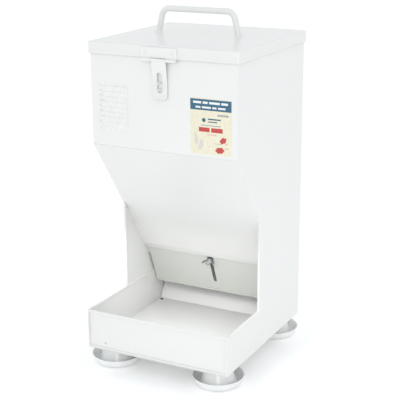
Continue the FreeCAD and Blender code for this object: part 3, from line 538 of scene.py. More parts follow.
def grown(tree, start, **inputs):
    """The plain mesh that a rule makes from its starting mesh and named inputs."""
    holder = linked("grown", start)
    modifier = holder.modifiers.new("Rule", "NODES")
    modifier.node_group = tree
    names = {item.name: item.identifier
             for item in tree.interface.items_tree if item.in_out == "INPUT"}
    for name, value in inputs.items():
        modifier[names[name.replace("_", " ")]] = value
    mesh = settled(holder)
    holder.modifiers.remove(modifier)
    bpy.data.objects.remove(holder)
    bpy.data.meshes.remove(start)
    return cleaned(mesh)


def rule_named(name):
    return bpy.data.node_groups[name]


def turned(profile, material, **inputs):
    """Turned pieces in plain mesh, from (radius, height) points in millimetres."""
    start = path_mesh([(radius * MM, 0, height * MM) for radius, height in profile])
    return grown(rule_named("Turned pieces on a grid"), start, Steps=sizes().round_steps,
                 Material=finish_named(material), **inputs)


def rods(material, radius, sides, *paths):
    """Round rods in plain mesh along the given paths."""
    return grown(rule_named("Round rod along a path"), path_mesh(*paths), Radius=radius, Sides=sides,
                 Material=finish_named(material))


# ---- operators ---------------------------------------------------------------------------------

KEPT_ENAMEL = ("left_side_panel", "right_side_panel", "front_panel", "slope_panel", "back_panel",
               "floor_panel", "ramp_panel", "left_tray_liner", "right_tray_liner", "gate_plate",
               "gate_cross_bar", "hasp_plate")
KEPT_ZINC = ("gate_washer", "hinge_body_leaf", "hinge_lid_leaf", "hinge_pin", "hasp_pin",
             "handle_screws", "foot_bolts", "foot_washers", "foot_nuts")
PLAIN_INKS = {
    "ink_white": (0.82, 0.83, 0.82),
    "ink_grey": (0.36, 0.38, 0.40),
    "ink_pink": (0.72, 0.45, 0.42),
    "ink_faint": (0.66, 0.60, 0.60),
    "ink_rule": (0.58, 0.61, 0.61),
}
FEET = ("moat_foot_front_left", "moat_foot_front_right", "moat_foot_rear_left", "moat_foot_rear_right")


class FEEDER_OT_finishes(Operator):
    """Mixes every finish, draws the rules, and paints the pieces kept from the frame"""
    bl_idname = "feeder.finishes"
    bl_label = "Finishes"

    def execute(self, context):
        tint = colours()
        stove_enamel("enamel_body", tint.enamel)
        stove_enamel("enamel_lid", shade(tint.enamel, 0.985))
        # Gate enamel: the body enamel darkened by about a quarter, with a faint green tint; the darkening
        # is painted shade of the alcove the gate sits in.
        stove_enamel("gate_enamel_painted_shade", tinted(tint.enamel, 0.74, 0.755, 0.72), 0.06)
        # Lip enamel: the body enamel darkened a little as painted shade on the slope's turned-down lip
        # above the gate.
        stove_enamel("lip_enamel_painted_shade", tinted(tint.enamel, 0.84, 0.85, 0.83), 0.04)
        stove_enamel("enamel_hasp", tint.enamel)
        zinc_plate("zinc_hardware", tint.zinc)
        # Near-black zinc: painted shade for the rings that darken the drain holes.
        zinc_plate("zinc_painted_shade", shade(tint.zinc, 0.12))
        moulded_white("foot_enamel", tint.enamel)
        label_stock("writing_label", tint.paper)
        label_stock("cream_label", tint.cream)
        printed_ink("ink_blue", tint.banner)
        printed_ink("ink_red", tint.accent)
        for name, colour in PLAIN_INKS.items():
            printed_ink(name, colour)
        turned_row_rule()
        rod_rule()
        for name in KEPT_ENAMEL:
            # The gate plate and its cross bar take the darkened gate enamel, whose darkening is painted
            # shade.
            coat = "gate_enamel_painted_shade" if name in ("gate_plate", "gate_cross_bar") else "enamel_body"
            self.paint(NODES[name], finish_named(coat))
        for name in KEPT_ZINC:
            self.paint(NODES[name], finish_named("zinc_hardware"))
        return {"FINISHED"}

    def paint(self, node, material):
        for holder in node.material_slots:
            holder.link = "OBJECT"
            holder.material = material


class FEEDER_OT_lid(Operator):
    """Lid pan with rounded folds, a hemmed lower edge and a shallow cross-break"""
    bl_idname = "feeder.lid"
    bl_label = "Lid"

    corner = 3.0 * MM
    flat_inset = 12.0 * MM

    def execute(self, context):
        low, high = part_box("lid_shell")
        gauge = sizes().sheet_gauge
        proud = 0.35 * MM
        fold = 1.2 * MM
        hem_top = low.z + 4.0 * MM
        outer = [(self.flat_inset, high.z)]
        outer += [(proud + fold - fold * math.sin(a), high.z - fold + fold * math.cos(a))
                  for a in (math.radians(18 * step) for step in range(6))]
        outer += [(proud, hem_top), (0.1 * MM, hem_top - 0.5 * MM), (0.0, hem_top - 0.9 * MM),
                  (0.0, low.z + 0.6 * MM), (0.25 * MM, low.z + 0.15 * MM), (0.7 * MM, low.z)]
        inner = [(2 * gauge - 0.2 * MM, low.z + 0.4 * MM), (2 * gauge - 0.2 * MM, hem_top - 0.6 * MM),
                 (proud + gauge, hem_top), (proud + gauge, high.z - gauge - 1.0 * MM),
                 (proud + gauge + 0.3 * MM, high.z - gauge - 0.3 * MM),
                 (proud + gauge + 1.0 * MM, high.z - gauge), (self.flat_inset, high.z - gauge)]
        mesh = self.pan(low, high, outer + inner, gauge)
        add_piece("lid_pan", mesh, ["enamel_lid"], "lid", ["lid_shell"], 50)
        return {"FINISHED"}

    def ring(self, low, high, inset, z):
        """One level of the pan: a rounded rectangle drawn in by inset."""
        radius = max(self.corner - inset, 0.25 * MM)
        return [(x, y, z) for x, y in rounded_box(
            low.x + inset, high.x - inset, low.y + inset, high.y - inset, radius, 4)]

    def pan(self, low, high, profile, gauge):
        rings = [self.ring(low, high, inset, z) for inset, z in profile]
        count = len(rings[0])
        vertices = [point for ring in rings for point in ring]
        faces = []
        for level in range(len(rings) - 1):
            a, b = level * count, (level + 1) * count
            faces += [(a + i, a + (i + 1) % count, b + (i + 1) % count, b + i) for i in range(count)]
        crown = sizes().lid_crown
        middle = ((low.x + high.x) / 2, (low.y + high.y) / 2)
        for start, height in ((0, high.z + crown), (len(vertices) - count, high.z + crown - gauge)):
            vertices.append((*middle, height))
            faces += [(start + i, start + (i + 1) % count, len(vertices) - 1) for i in range(count)]
        return cleaned(mesh_from("lid", vertices, faces))


class FEEDER_OT_handle(Operator):
    """Carry handle: a bent rod with a weld bead round each foot"""
    bl_idname = "feeder.handle"
    bl_label = "Carry Handle"

    def execute(self, context):
        low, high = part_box("carry_handle")
        radius = sizes().rod_radius
        middle = (low.x + high.x) / 2
        depth = (low.y + high.y) / 2
        collar_radius = 6.2
        foot = (high.x - low.x) / 2 - collar_radius * MM
        grip = high.z - radius
        bend = 12.0 * MM
        bar = 45.0 * MM
        centre = Vector((bar, grip - bend))
        toe = Vector((foot, low.z + 2.1 * MM))
        span = toe - centre
        lean = math.atan2(span.y, span.x) + math.acos(bend / span.length)
        side = arc_points(centre, bend, 90, math.degrees(lean), 12) + [tuple(toe)]
        outline = [(-x, z) for x, z in reversed(side)] + side
        path = [(middle + x, depth, z) for x, z in outline]
        rod = rods("enamel_lid", radius, 28, path)
        collar = [(0.0, 3.0), (3.9, 3.0), (4.6, 2.5), (5.3, 1.5), (6.0, 0.5),
                  (collar_radius, 0.0), (0.0, 0.0)]
        beads = turned(collar, "enamel_lid", Count_Across=2, Reach_Across=2 * foot,
                       Centre=(middle, depth, low.z))
        whole = joined("handle", [rod, beads])
        add_piece("carry_handle_rod", whole, ["enamel_lid"], "lid",
                  ["carry_handle"])
        return {"FINISHED"}


class FEEDER_OT_tray_front(Operator):
    """Tray front: one sheet with a turned rim, a dished face and a turned lower lip"""
    bl_idname = "feeder.tray_front"
    bl_label = "Tray Front"

    weep_across = -82.3 * MM
    weep_rise = 8.8 * MM
    weep_radius = 1.5 * MM
    drill_length = 16.0 * MM

    def execute(self, context):
        low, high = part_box("tray_front_wall")
        gauge = sizes().sheet_gauge
        half = gauge / 2
        front, back = low.y + half, high.y - half
        top, foot = high.z - half, low.z + half
        path = [(front, top - 2.6 * MM)]
        path += arc_points((front + 0.9 * MM, top - 0.9 * MM), 0.9 * MM, 180, 90, 5)
        path += arc_points((back - 1.8 * MM, top - 0.9 * MM), 0.9 * MM, 90, 0, 5)
        dish = [(back - 0.9 * MM, top - 3 * MM), (back - 0.2 * MM, top - 9 * MM), (back, top - 16 * MM),
                (back - 0.15 * MM, top - 28 * MM), (back - 0.8 * MM, foot + 14 * MM),
                (back - 1.5 * MM, foot + 5 * MM), (back - 2.0 * MM, foot + 1.6 * MM)]
        path += [tuple(point) for point in smooth_path(dish, 4)]
        path += arc_points((front + 0.7 * MM, foot + 0.7 * MM), 0.7 * MM, 270, 180, 4)
        path += [(front, foot + 2.6 * MM)]
        mesh = self.pierced(ribbon(path, low.x, high.x, gauge), (low.y + high.y) / 2, low.z)
        add_piece("tray_front_dished", mesh, ["enamel_body"], "feeder_body",
                  ["tray_front_wall"], 60)
        return {"FINISHED"}

    def pierced(self, mesh, y, floor):
        """The sheet with its small weep hole drilled near the left corner."""
        cutter = bmesh.new()
        spot = (self.weep_across, y, floor + self.weep_rise)
        place = Matrix.Translation(spot) @ Matrix.Rotation(math.pi / 2, 4, "X")
        bmesh.ops.create_cone(cutter, cap_ends=True, segments=24, radius1=self.weep_radius,
                              radius2=self.weep_radius, depth=self.drill_length, matrix=place)
        drill_mesh = bpy.data.meshes.new("drill")
        cutter.to_mesh(drill_mesh)
        cutter.free()
        drill = linked("drill", drill_mesh)
        sheet = linked("sheet", mesh)
        cut = sheet.modifiers.new("Weep Hole", "BOOLEAN")
        cut.operation = "DIFFERENCE"
        cut.solver = "EXACT"
        cut.object = drill
        result = settled(sheet)
        bpy.data.objects.remove(sheet)
        bpy.data.objects.remove(drill)
        return result


class FEEDER_OT_edges(Operator):
    """Rolled hems on the alcove's free edges, and the ramp's welded end flanges"""
    bl_idname = "feeder.edges"
    bl_label = "Hems and Flanges"

    edge_setback = 73.0 * MM
    drain_spread = 104.0 * MM
    drain_setback = 172.0 * MM

    def execute(self, context):
        radius = sizes().hem_radius
        slope_low, slope_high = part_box("slope_panel")
        liner_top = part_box("right_tray_liner")[1].z
        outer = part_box("right_side_panel")[1].x
        rate = (slope_high.z - slope_low.z) / (slope_high.y - slope_low.y)
        edge = PANEL_FACE + self.edge_setback
        top = slope_high.z - self.edge_setback * rate - 3.5 * MM
        hems = [[(side * (outer - radius), edge + radius, liner_top + 0.1 * MM),
                 (side * (outer - radius), edge + radius, top)] for side in (-1, 1)]
        mesh = rods("enamel_body", radius, 24, *hems)
        add_piece("free_edge_hems", mesh, ["enamel_body"], "feeder_body")
        self.slope_lip(outer - 1.2 * MM)
        self.ramp_flanges()
        self.drain_shade_rings()
        return {"FINISHED"}

    def slope_lip(self, half):
        """The slope's lower edge, turned down in front of the gate that slides up behind it, in a darker
        enamel that is painted shade.
        """
        outline = rounded_box(-half, half, 0, 7.0 * MM, 0.4 * MM, 3)
        strip = plate(outline, (), sizes().sheet_gauge, 0.25 * MM)
        strip.transform(GATE_SPACE @ Matrix.Translation((0, 7.4 * MM, 1.8 * MM)))
        add_piece("slope_lip", strip, ["lip_enamel_painted_shade"], "feeder_body")

    def drain_shade_rings(self):
        """A near-black ring round each drain hole at the back of the tray's floor, painted shade standing
        in for the dark inside of the hole.
        """
        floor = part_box("floor_panel")[1].z
        profile = [(1.1, -0.7), (2.0, -0.7), (2.0, 0.0), (2.5, 0.0), (2.5, 0.3), (2.1, 0.55), (1.5, 0.55),
                   (1.1, 0.3), (1.1, -0.7)]
        rings = turned(profile, "zinc_painted_shade", Count_Across=2,
                       Reach_Across=2 * self.drain_spread,
                       Centre=(0.0, PANEL_FACE + self.drain_setback, floor))
        add_piece("drain_shade_rings", rings, ["zinc_painted_shade"], "feeder_body")

    def ramp_flanges(self):
        """Narrow flanges turned forward at both ends of the ramp, tacked to the liners."""
        low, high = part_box("ramp_panel")
        run, rise = high.y - low.y, high.z - low.z
        along = Vector((0, run, rise)).normalized()
        normal = Vector((0, -along.z, along.y))
        foot = Vector((0, low.y + 1.2 * MM, low.z + 1.2 * MM))
        wide, tall = 6.0 * MM, 34.0 * MM
        outline = rounded_box(0, wide, 0, tall, 1.2 * MM, 4)
        strips = []
        for side in (-1, 1):
            strip = plate(outline, (), sizes().sheet_gauge, 0.2 * MM)
            origin = foot + normal * 1.0 * MM + X * (side * (high.x - 0.2 * MM) - (wide if side > 0 else 0))
            turn = Matrix((X, along, normal)).transposed().to_4x4()
            strip.transform(Matrix.Translation(origin) @ turn)
            strips.append(strip)
        profile = [(0.0, 0.32), (0.9, 0.28), (1.6, 0.12), (1.9, 0.0), (0.0, 0.0)]
        for side in (-1, 1):
            centre = foot + normal * 1.8 * MM + along * tall * 0.52 + X * side * (high.x - 3.2 * MM)
            tilt = math.atan2(-normal.y, normal.z)
            strips.append(turned(profile, "enamel_body", Count_Along=4,
                                 Reach_Along=24.0 * MM, Centre=tuple(centre), Aim=(tilt, 0, 0)))
        add_piece("ramp_end_flanges", joined("flanges", strips), ["enamel_body"],
                  "feeder_body")


class FEEDER_OT_clamp(Operator):
    """Threaded clamp bolt and cast wing nut of the feed gate"""
    bl_idname = "feeder.clamp"
    bl_label = "Gate Clamp"

    def execute(self, context):
        bolt = joined("bolt", [self.thread(2.5 * MM, 0.4 * MM, 13.0 * MM), self.head()])
        bolt.transform(GATE_SPACE)
        add_piece("clamp_bolt_threaded", bolt, ["zinc_hardware"], "feeder_body",
                  ["gate_bolt"])
        nut = self.wing_nut()
        nut.transform(GATE_SPACE)
        add_piece("wing_nut_cast", nut, ["zinc_hardware"], "wing_nut",
                  ["wing_nut"], 60)
        return {"FINISHED"}

    def thread(self, crest, depth, end):
        """A helical thread from behind the bar to the chamfered end."""
        pitch = sizes().thread_pitch
        around, rows = 40, 130
        start = -3.0 * MM
        vertices, faces = [], []
        for row in range(rows + 1):
            z = start + (end - start) * row / rows
            ceiling = min(crest, crest - depth * 1.4 + (end - z))
            for step in range(around):
                turn = step / around
                phase = (z / pitch - turn) % 1.0
                radius = min(ceiling, crest - depth * abs(2 * phase - 1))
                angle = 2 * math.pi * turn
                vertices.append((radius * math.cos(angle), radius * math.sin(angle), z))
        for row in range(rows):
            a, b = row * around, (row + 1) * around
            faces += [(a + i, a + (i + 1) % around, b + (i + 1) % around, b + i) for i in range(around)]
        faces.append(tuple(reversed(range(around))))
        faces.append(tuple(range(rows * around, (rows + 1) * around)))
        return cleaned(mesh_from("thread", vertices, faces))

    def head(self):
        """Low round head on the back of the cross bar."""
        seat = -3.1
        profile = [(0.0, seat), (4.6, seat), (4.8, seat - 0.2), (4.7, seat - 1.0), (4.1, seat - 2.0),
                   (2.9, seat - 2.6), (1.4, seat - 2.8), (0.0, seat - 2.8)]
        return turned(profile, "zinc_hardware")

    def wing_nut(self):
        """Hub and two swept wings, melted together like a casting."""
        foot = 1.4
        hub = [(2.55, foot), (4.7, foot), (5.0, foot + 0.4), (4.6, foot + 2.6), (4.0, foot + 4.9),
               (3.5, foot + 5.2), (2.9, foot + 5.2), (2.55, foot + 4.9), (2.55, foot)]
        parts = [turned(hub, "zinc_hardware")]
        sweep = [(3.3, foot + 0.9), (4.9, foot + 1.0), (7.6, foot + 2.9), (9.5, foot + 5.6),
                 (10.4, foot + 8.4), (10.1, foot + 9.6), (8.9, foot + 9.9), (7.6, foot + 9.0),
                 (6.6, foot + 7.0), (5.2, foot + 5.2), (3.3, foot + 4.6)]
        for side in (-1, 1):
            wing = plate([(side * u * MM, v * MM) for u, v in sweep], (), 1.6 * MM, 0.5 * MM)
            wing.transform(Matrix.Rotation(math.pi / 2, 4, "X") @ Matrix.Translation((0, 0, -0.8 * MM)))
            parts.append(cleaned(wing))
        holder = linked("casting", joined("casting", parts))
        melt = holder.modifiers.new("Melt", "REMESH")
        melt.mode = "VOXEL"
        melt.voxel_size = 0.16 * MM
        calm = holder.modifiers.new("Calm", "SMOOTH")
        calm.factor = 0.5
        calm.iterations = 5
        mesh = settled(holder)
        bpy.data.objects.remove(holder)
        return mesh


class FEEDER_OT_hasp(Operator):
    """Bent hasp strap with its rolled knuckle, and the welded rod staple"""
    bl_idname = "feeder.hasp"
    bl_label = "Hasp and Staple"

    def execute(self, context):
        self.strap()
        self.staple()
        return {"FINISHED"}

    def strap(self):
        """A slotted strip bent from the pin down to its flared end."""
        low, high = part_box("hasp_strap")
        gauge = 1.0 * MM
        roll = 2.2 * MM - gauge / 2
        axis = HASP_AXIS
        middle = (low.x + high.x) / 2
        wrap = [Vector((axis.y + roll * math.cos(a), axis.z + roll * math.sin(a)))
                for a in (math.radians(-60 + 21 * step) for step in range(16))]
        face = PANEL_FACE - gauge / 2
        drop = [(face - 3.9 * MM, axis.z - 7.8 * MM), (face - 2.6 * MM, axis.z - 19 * MM),
                (face - 1.3 * MM, axis.z - 32 * MM), (face - 1.2 * MM, axis.z - 42 * MM),
                (face - 2.6 * MM, axis.z - 47.5 * MM), (face - 4.6 * MM, low.z + 0.2 * MM)]
        path = wrap + [Vector(point) for point in smooth_path([tuple(wrap[-1]), *drop], 5)][2:]
        reach = [0.0]
        for before, after in zip(path, path[1:]):
            reach.append(reach[-1] + (after - before).length)
        length = reach[-1]

        def on_path(point):
            """Carries a flat point (across, down the strap, thickness) onto the bent path."""
            run = min(max(point.y, 0.0), length)
            step = max(index for index, value in enumerate(reach[:-1]) if value <= run + 1e-9)
            a, b = path[step], path[step + 1]
            along = (b - a).normalized()
            spot = a + along * (run - reach[step])
            normal = Vector((along.y, -along.x)) * (point.z - gauge / 2)
            return Vector((middle + point.x, spot.x + normal.x, spot.y + normal.y))

        def run_at(z):
            """How far along the strap it first comes down to a height."""
            return next(reach[i] for i in range(len(wrap), len(path)) if path[i].y <= z)

        half = (high.x - low.x) / 2
        corner = 3.2 * MM
        outline = [(-half, 0.0), (half, 0.0)]
        outline += arc_points((half - corner, length - corner), corner, 0, 90, 6)
        outline += arc_points((-half + corner, length - corner), corner, 90, 180, 6)
        hole = long_hole(0.0, run_at(axis.z - 14.8 * MM), run_at(axis.z - 43.3 * MM), 3.8 * MM)
        flat = plate(outline, [hole], gauge, 0.18 * MM)
        flat = sliced(flat, reach[1:-1], Y)
        mesh = cleaned(bent(flat, on_path))
        add_piece("hasp_strap_bent", mesh, ["enamel_hasp"], "hasp",
                  ["hasp_strap"], 50)

    def staple(self):
        """A rod loop with a weld bead where each leg meets the panel."""
        low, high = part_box("padlock_staple")
        radius = sizes().staple_radius
        bend = (high.z - low.z) / 2 - radius
        middle = (low.x + high.x) / 2
        level = (high.z + low.z) / 2
        tip = low.y + radius + bend
        arc = [(middle, tip + bend * math.cos(a), level + bend * math.sin(a))
               for a in (math.radians(90 + 15 * step) for step in range(13))]
        sunk = PANEL_FACE + 0.3 * MM
        path = [(middle, sunk, level + bend), *arc, (middle, sunk, level - bend)]
        loop = rods("enamel_hasp", radius, 20, path)
        bead = [(0.0, 0.9), (1.5, 0.9), (1.9, 0.5), (2.5, 0.1), (2.7, 0.0), (0.0, 0.0)]
        beads = turned(bead, "enamel_hasp", Count_Along=2,
                       Reach_Along=2 * bend, Centre=(middle, PANEL_FACE, level), Aim=(math.pi / 2, 0, 0))
        add_piece("staple_loop", joined("staple", [loop, beads]), ["enamel_hasp"],
                  "feeder_body", ["padlock_staple"])


class FEEDER_OT_rivets(Operator):
    """Domed blind rivets of the lid hinge and the hasp"""
    bl_idname = "feeder.rivets"
    bl_label = "Rivets"

    head = [(0.0, 0.55), (0.62, 0.6), (0.72, 1.02), (1.3, 1.0), (2.0, 0.72), (2.55, 0.36),
            (2.8, 0.05), (2.75, 0.0), (1.5, 0.0), (1.5, -1.8), (2.2, -1.8), (2.0, -2.5), (0.0, -2.6)]

    def execute(self, context):
        self.row("hinge_body_rivets", "feeder_body", "zinc_hardware", "zinc_plate", 3, 1)
        self.row("hinge_lid_rivets", "lid", "zinc_hardware", "zinc_plate", 3, 1)
        self.row("hasp_rivets", "lid", "enamel_hasp", "white_enamel", 2, -1)
        return {"FINISHED"}

    def row(self, node, body, finish, slot, count, side):
        """One row of rivets in place of a node; side is which way along Y the heads point."""
        low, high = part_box(node)
        seat = (high.y if side > 0 else low.y) - side * 1.3 * MM
        reach = (high.x - low.x) - 5.6 * MM
        centre = ((low.x + high.x) / 2, seat, (low.z + high.z) / 2)
        mesh = turned(self.head, finish, Count_Across=count,
                      Reach_Across=reach, Centre=centre, Aim=(-side * math.pi / 2, 0, 0))
        add_piece(node.removesuffix("s") + "_heads", mesh, [finish], body, [node])


class FEEDER_OT_feet(Operator):
    """Four moat feet: a rolled rim, a water channel and a hollow pedestal"""
    bl_idname = "feeder.feet"
    bl_label = "Moat Feet"

    # Radius and height in millimetres, from inside the pedestal's top round to its bolt hole.
    outline = [(3.2, 24.5), (14.4, 24.5), (15.0, 23.9), (24.4, 0.3), (24.8, 0.0), (26.4, 0.0), (28.4, 0.5),
               (30.6, 1.7), (32.6, 4.4), (34.6, 8.4), (35.9, 11.3), (36.35, 12.2), (36.45, 12.7),
               (36.2, 13.1), (35.7, 13.2), (35.1, 13.0), (34.8, 12.5), (34.2, 11.2), (31.2, 5.0),
               (29.9, 3.1), (28.6, 2.2), (27.2, 2.0), (26.6, 2.2), (26.1, 2.9), (17.6, 26.1),
               (17.3, 26.9), (16.8, 27.4), (16.2, 27.5), (3.2, 27.5), (3.2, 24.5)]

    def execute(self, context):
        low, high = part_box(FEET[0])
        far_low, far_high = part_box(FEET[3])
        first = (low + high) / 2
        last = (far_low + far_high) / 2
        middle = (first + last) / 2
        mesh = turned(self.outline, "foot_enamel", Count_Across=2, Count_Along=2,
                      Reach_Across=last.x - first.x, Reach_Along=last.y - first.y,
                      Centre=(middle.x, middle.y, low.z))
        add_piece("moat_feet", mesh, ["foot_enamel"], "feeder_body", FEET, 30)
        return {"FINISHED"}


class FEEDER_OT_labels(Operator):
    """Two stuck-on labels with generic print"""
    bl_idname = "feeder.labels"
    bl_label = "Labels"

    ink_rise = 0.02 * MM

    def execute(self, context):
        self.writing_label()
        self.large_label()
        return {"FINISHED"}

    def sheet(self, node):
        """The label's place (corner, width, height) and its own paper, with small round corners."""
        low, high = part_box(node)
        wide, tall = high.x - low.x, high.z - low.z
        gauge = high.y - low.y - 2 * self.ink_rise
        paper = plate(rounded_box(0, wide, 0, tall, 1.2 * MM, 4), (), gauge, 0.03 * MM)
        stand = Matrix.Translation((low.x, high.y, low.z)) @ Matrix.Rotation(math.pi / 2, 4, "X")
        paper.transform(stand)
        return (low, wide, tall), paper

    def print_on(self, low, patches):
        """Flat inked shapes, just proud of the paper, from (ink number, outline) pairs."""
        vertices, faces, inks = [], [], []
        y = low.y + self.ink_rise * 0.6
        for ink, outline in patches:
            first = len(vertices)
            vertices += [(u, y, v) for u, v in outline]
            faces.append(tuple(range(first, len(vertices))))
            inks.append(ink)
        mesh = mesh_from("print", vertices, faces)
        for face, ink in zip(mesh.polygons, inks):
            face.material_index = ink
        work = bmesh.new()
        work.from_mesh(mesh)
        for face in work.faces:
            if face.normal.y > 0:
                face.normal_flip()
        bmesh.ops.triangulate(work, faces=work.faces)
        work.to_mesh(mesh)
        work.free()
        return mesh

    def bar(self, low, wide, tall, left, right, bottom, top):
        """A rectangle given in fractions of the label."""
        return [(low.x + left * wide, low.z + bottom * tall), (low.x + right * wide, low.z + bottom * tall),
                (low.x + right * wide, low.z + top * tall), (low.x + left * wide, low.z + top * tall)]

    def blob(self, low, wide, tall, u, v, across, up, turn=0.0, petals=0, depth=0.0):
        """A rounded shape, plain or scalloped."""
        steps = 36
        outline = []
        for step in range(steps):
            a = 2 * math.pi * step / steps
            swell = 1 + depth * math.cos(petals * a)
            x, y = across * swell * math.cos(a), up * swell * math.sin(a)
            outline.append((low.x + u * wide + (x * math.cos(turn) - y * math.sin(turn)) * wide,
                            low.z + v * tall + (x * math.sin(turn) + y * math.cos(turn)) * wide))
        return outline

    def add(self, name, node, slot, paper_finish, inks, paper, prints):
        mesh = joined(name, [paper, prints])
        add_piece(name, mesh, (paper_finish, *inks), "feeder_body", [node])

    def writing_label(self):
        """Pale ruled label: two border rules, and seven writing lines with short marks above them."""
        place, paper = self.sheet("data_label")
        border, rule = 1, 2
        patches = [(border, self.bar(*place, 0.03, 0.97, 0.945, 0.953)),
                   (border, self.bar(*place, 0.962, 0.97, 0.05, 0.95))]
        for line in range(7):
            level = 0.83 - 0.105 * line
            end = 0.16 + 0.05 * (line % 3)
            patches.append((rule, self.bar(*place, 0.07, 0.90, level, level + 0.006)))
            patches.append((rule, self.bar(*place, 0.07, end, level + 0.022, level + 0.036)))
        self.add("writing_label_sheet", "data_label", "label_paper", "writing_label",
                 ("ink_faint", "ink_rule"), paper, self.print_on(place[0], patches))

    def large_label(self):
        """Cream label: blue banner with light dashes, a disc, bars, and round and scalloped shapes."""
        place, paper = self.sheet("product_label")
        blue, red, white, grey, pink, faint = 1, 2, 3, 4, 5, 6
        banner = self.print_on(place[0], [(blue, self.bar(*place, 0.0, 1.0, 0.79, 0.985))])
        over = []
        for bottom, top, start, widths in ((0.905, 0.945, 0.07, (0.20, 0.12, 0.26, 0.16)),
                                           (0.825, 0.857, 0.13, (0.12, 0.22, 0.10, 0.18))):
            for width in widths:
                over.append((white, self.bar(*place, start, start + width, bottom, top)))
                start += width + 0.035
        over += [(grey, self.bar(*place, 0.66, 0.93, 0.70, 0.735)),
                 (blue, self.blob(*place, 0.33, 0.615, 0.045, 0.045)),
                 (blue, self.bar(*place, 0.43, 0.74, 0.625, 0.65)),
                 (blue, self.bar(*place, 0.43, 0.66, 0.58, 0.598)),
                 (grey, self.bar(*place, 0.26, 0.74, 0.515, 0.532)),
                 (red, self.bar(*place, 0.21, 0.47, 0.405, 0.485)),
                 (red, self.bar(*place, 0.51, 0.79, 0.405, 0.485)),
                 (pink, self.bar(*place, 0.40, 0.64, 0.35, 0.368)),
                 (red, self.blob(*place, 0.80, 0.275, 0.085, 0.060, 0.6, 5, 0.10)),
                 (red, self.blob(*place, 0.72, 0.095, 0.105, 0.068, 0.1, 6, 0.08)),
                 (pink, self.blob(*place, 0.88, 0.22, 0.030, 0.022, 0.4)),
                 (grey, self.bar(*place, 0.60, 0.76, 0.205, 0.215)),
                 (grey, self.bar(*place, 0.84, 0.93, 0.135, 0.147)),
                 (faint, self.blob(*place, 0.14, 0.27, 0.045, 0.13, 0.15, 3, 0.08)),
                 (faint, self.blob(*place, 0.26, 0.17, 0.05, 0.12, -0.2, 3, 0.10)),
                 (faint, self.bar(*place, 0.42, 0.50, 0.14, 0.152))]
        top_print = self.print_on(place[0], over)
        top_print.transform(Matrix.Translation((0, -self.ink_rise * 0.3, 0)))
        self.add("large_label_sheet", "product_label", "label_film", "cream_label",
                 ("ink_blue", "ink_red", "ink_white", "ink_grey", "ink_pink", "ink_faint"),
                 paper, joined("prints", [banner, top_print]))


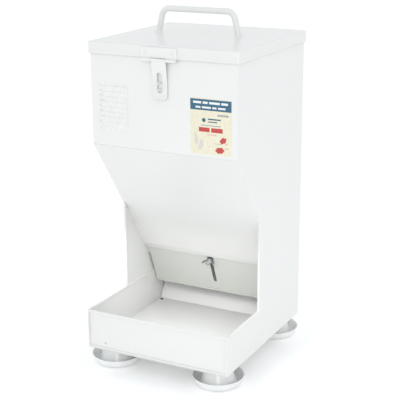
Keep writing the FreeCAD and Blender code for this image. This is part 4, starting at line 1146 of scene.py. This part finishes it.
class FEEDER_OT_stage(Operator):
    """Pale floor, soft studio light and the camera"""
    bl_idname = "feeder.stage"
    bl_label = "Stage"

    azimuth = 27.48
    elevation = 16.72
    roll = -0.32
    distance = 1.4911
    lens = 94.2
    target = Vector((0.0094, -0.0087, 0.2309))

    def execute(self, context):
        scene = context.scene
        scene.view_settings.view_transform = "Standard"
        self.floor()
        self.sky(scene)
        self.front_light()
        self.snoot()
        self.tray_fill()
        self.camera(scene)
        return {"FINISHED"}

    def floor(self):
        reach = 14.0
        mesh = mesh_from("floor", [(-reach, -reach, 0), (reach, -reach, 0), (reach, reach, 0),
                                   (-reach, reach, 0)], [(0, 1, 2, 3)])
        floor = linked("studio_floor", mesh)
        mesh.materials.append(studio_floor("pale_floor"))

    def sky(self, scene):
        """An even white surround, a little cooler and darker overhead."""
        world = bpy.data.worlds.new("studio")
        world.use_nodes = True
        tree = world.node_tree
        place = tree.nodes.new("ShaderNodeTexCoord")
        parts = tree.nodes.new("ShaderNodeSeparateXYZ")
        ramp = tree.nodes.new("ShaderNodeValToRGB")
        ramp.color_ramp.elements[0].position = 0.0
        ramp.color_ramp.elements[0].color = (1.0, 1.0, 1.0, 1)
        ramp.color_ramp.elements[1].position = 1.0
        ramp.color_ramp.elements[1].color = (0.86, 0.90, 0.93, 1)
        tree.links.new(place.outputs["Generated"], parts.inputs["Vector"])
        tree.links.new(parts.outputs["Z"], ramp.inputs["Fac"])
        background = tree.nodes["Background"]
        tree.links.new(ramp.outputs["Color"], background.inputs["Color"])
        background.inputs["Strength"].default_value = 1.02
        scene.world = world

    def front_light(self):
        light = bpy.data.lights.new("front_light", "AREA")
        light.shape = "DISK"
        light.size = 1.0
        light.energy = 7.0
        self.hang("front_light", light, (1.1, -2.2, 1.0), self.target)

    def snoot(self):
        """A soft-edged spot that reaches under the hopper to the ramp."""
        light = bpy.data.lights.new("ramp_light", "SPOT")
        light.energy = 40.0
        light.spot_size = math.radians(7)
        light.spot_blend = 1.0
        light.shadow_soft_size = 0.18
        self.hang("ramp_light", light, (0.72, -1.60, 0.62), (0.0, 0.06, 0.105))

    def tray_fill(self):
        """A small soft lamp over the tray that lifts the shade inside, itself never seen."""
        light = bpy.data.lights.new("tray_light", "AREA")
        light.shape = "RECTANGLE"
        light.size = 0.19
        light.size_y = 0.06
        light.energy = 0.085
        light.spread = math.radians(110)
        lamp = self.hang("tray_light", light, (0.0, -0.085, 0.185), (0.0, 0.02, 0.0))
        lamp.visible_camera = False
        lamp.visible_glossy = False

    def hang(self, name, light, place, aim):
        lamp = linked(name, light)
        lamp.location = place
        lamp.rotation_euler = (Vector(aim) - Vector(place)).to_track_quat("-Z", "Y").to_euler()
        return lamp

    def camera(self, scene):
        turn, lift = math.radians(self.azimuth), math.radians(self.elevation)
        away = Vector((math.sin(turn) * math.cos(lift), -math.cos(turn) * math.cos(lift), math.sin(lift)))
        lens = bpy.data.cameras.new("camera")
        lens.lens = self.lens
        lens.sensor_width = 36.0
        camera = linked("camera", lens)
        camera.location = self.target + away * self.distance
        aim = (-away).to_track_quat("-Z", "Y").to_matrix().to_4x4()
        tilt = Matrix.Rotation(math.radians(self.roll), 4, "Z")
        camera.matrix_world = Matrix.Translation(camera.location) @ aim @ tilt
        scene.camera = camera


STEPS = (FEEDER_OT_finishes, FEEDER_OT_lid, FEEDER_OT_handle, FEEDER_OT_tray_front, FEEDER_OT_edges,
         FEEDER_OT_clamp, FEEDER_OT_hasp, FEEDER_OT_rivets, FEEDER_OT_feet, FEEDER_OT_labels,
         FEEDER_OT_stage)


class FEEDER_PT_panel(Panel):
    """The feeder's steps, in the order that they are run"""
    bl_label = "Feeder"
    bl_idname = "FEEDER_PT_panel"
    bl_space_type = "VIEW_3D"
    bl_region_type = "UI"
    bl_category = "Feeder"

    def draw(self, context):
        for group in (context.scene.feeder_sizes, context.scene.feeder_colours):
            for name in group.__annotations__:
                self.layout.prop(group, name)
        for step in STEPS:
            self.layout.operator(step.bl_idname)


CLASSES = (FeederSizes, FeederColours, *STEPS, FEEDER_PT_panel)


def register():
    for item in CLASSES:
        bpy.utils.register_class(item)
    bpy.types.Scene.feeder_sizes = PointerProperty(type=FeederSizes)
    bpy.types.Scene.feeder_colours = PointerProperty(type=FeederColours)


def unregister():
    del bpy.types.Scene.feeder_colours
    del bpy.types.Scene.feeder_sizes
    for item in reversed(CLASSES):
        bpy.utils.unregister_class(item)


def main():
    register()
    bpy.ops.feeder.finishes()
    bpy.ops.feeder.lid()
    bpy.ops.feeder.handle()
    bpy.ops.feeder.tray_front()
    bpy.ops.feeder.edges()
    bpy.ops.feeder.clamp()
    bpy.ops.feeder.hasp()
    bpy.ops.feeder.rivets()
    bpy.ops.feeder.feet()
    bpy.ops.feeder.labels()
    bpy.ops.feeder.stage()


if __name__ == "__main__":
    main()
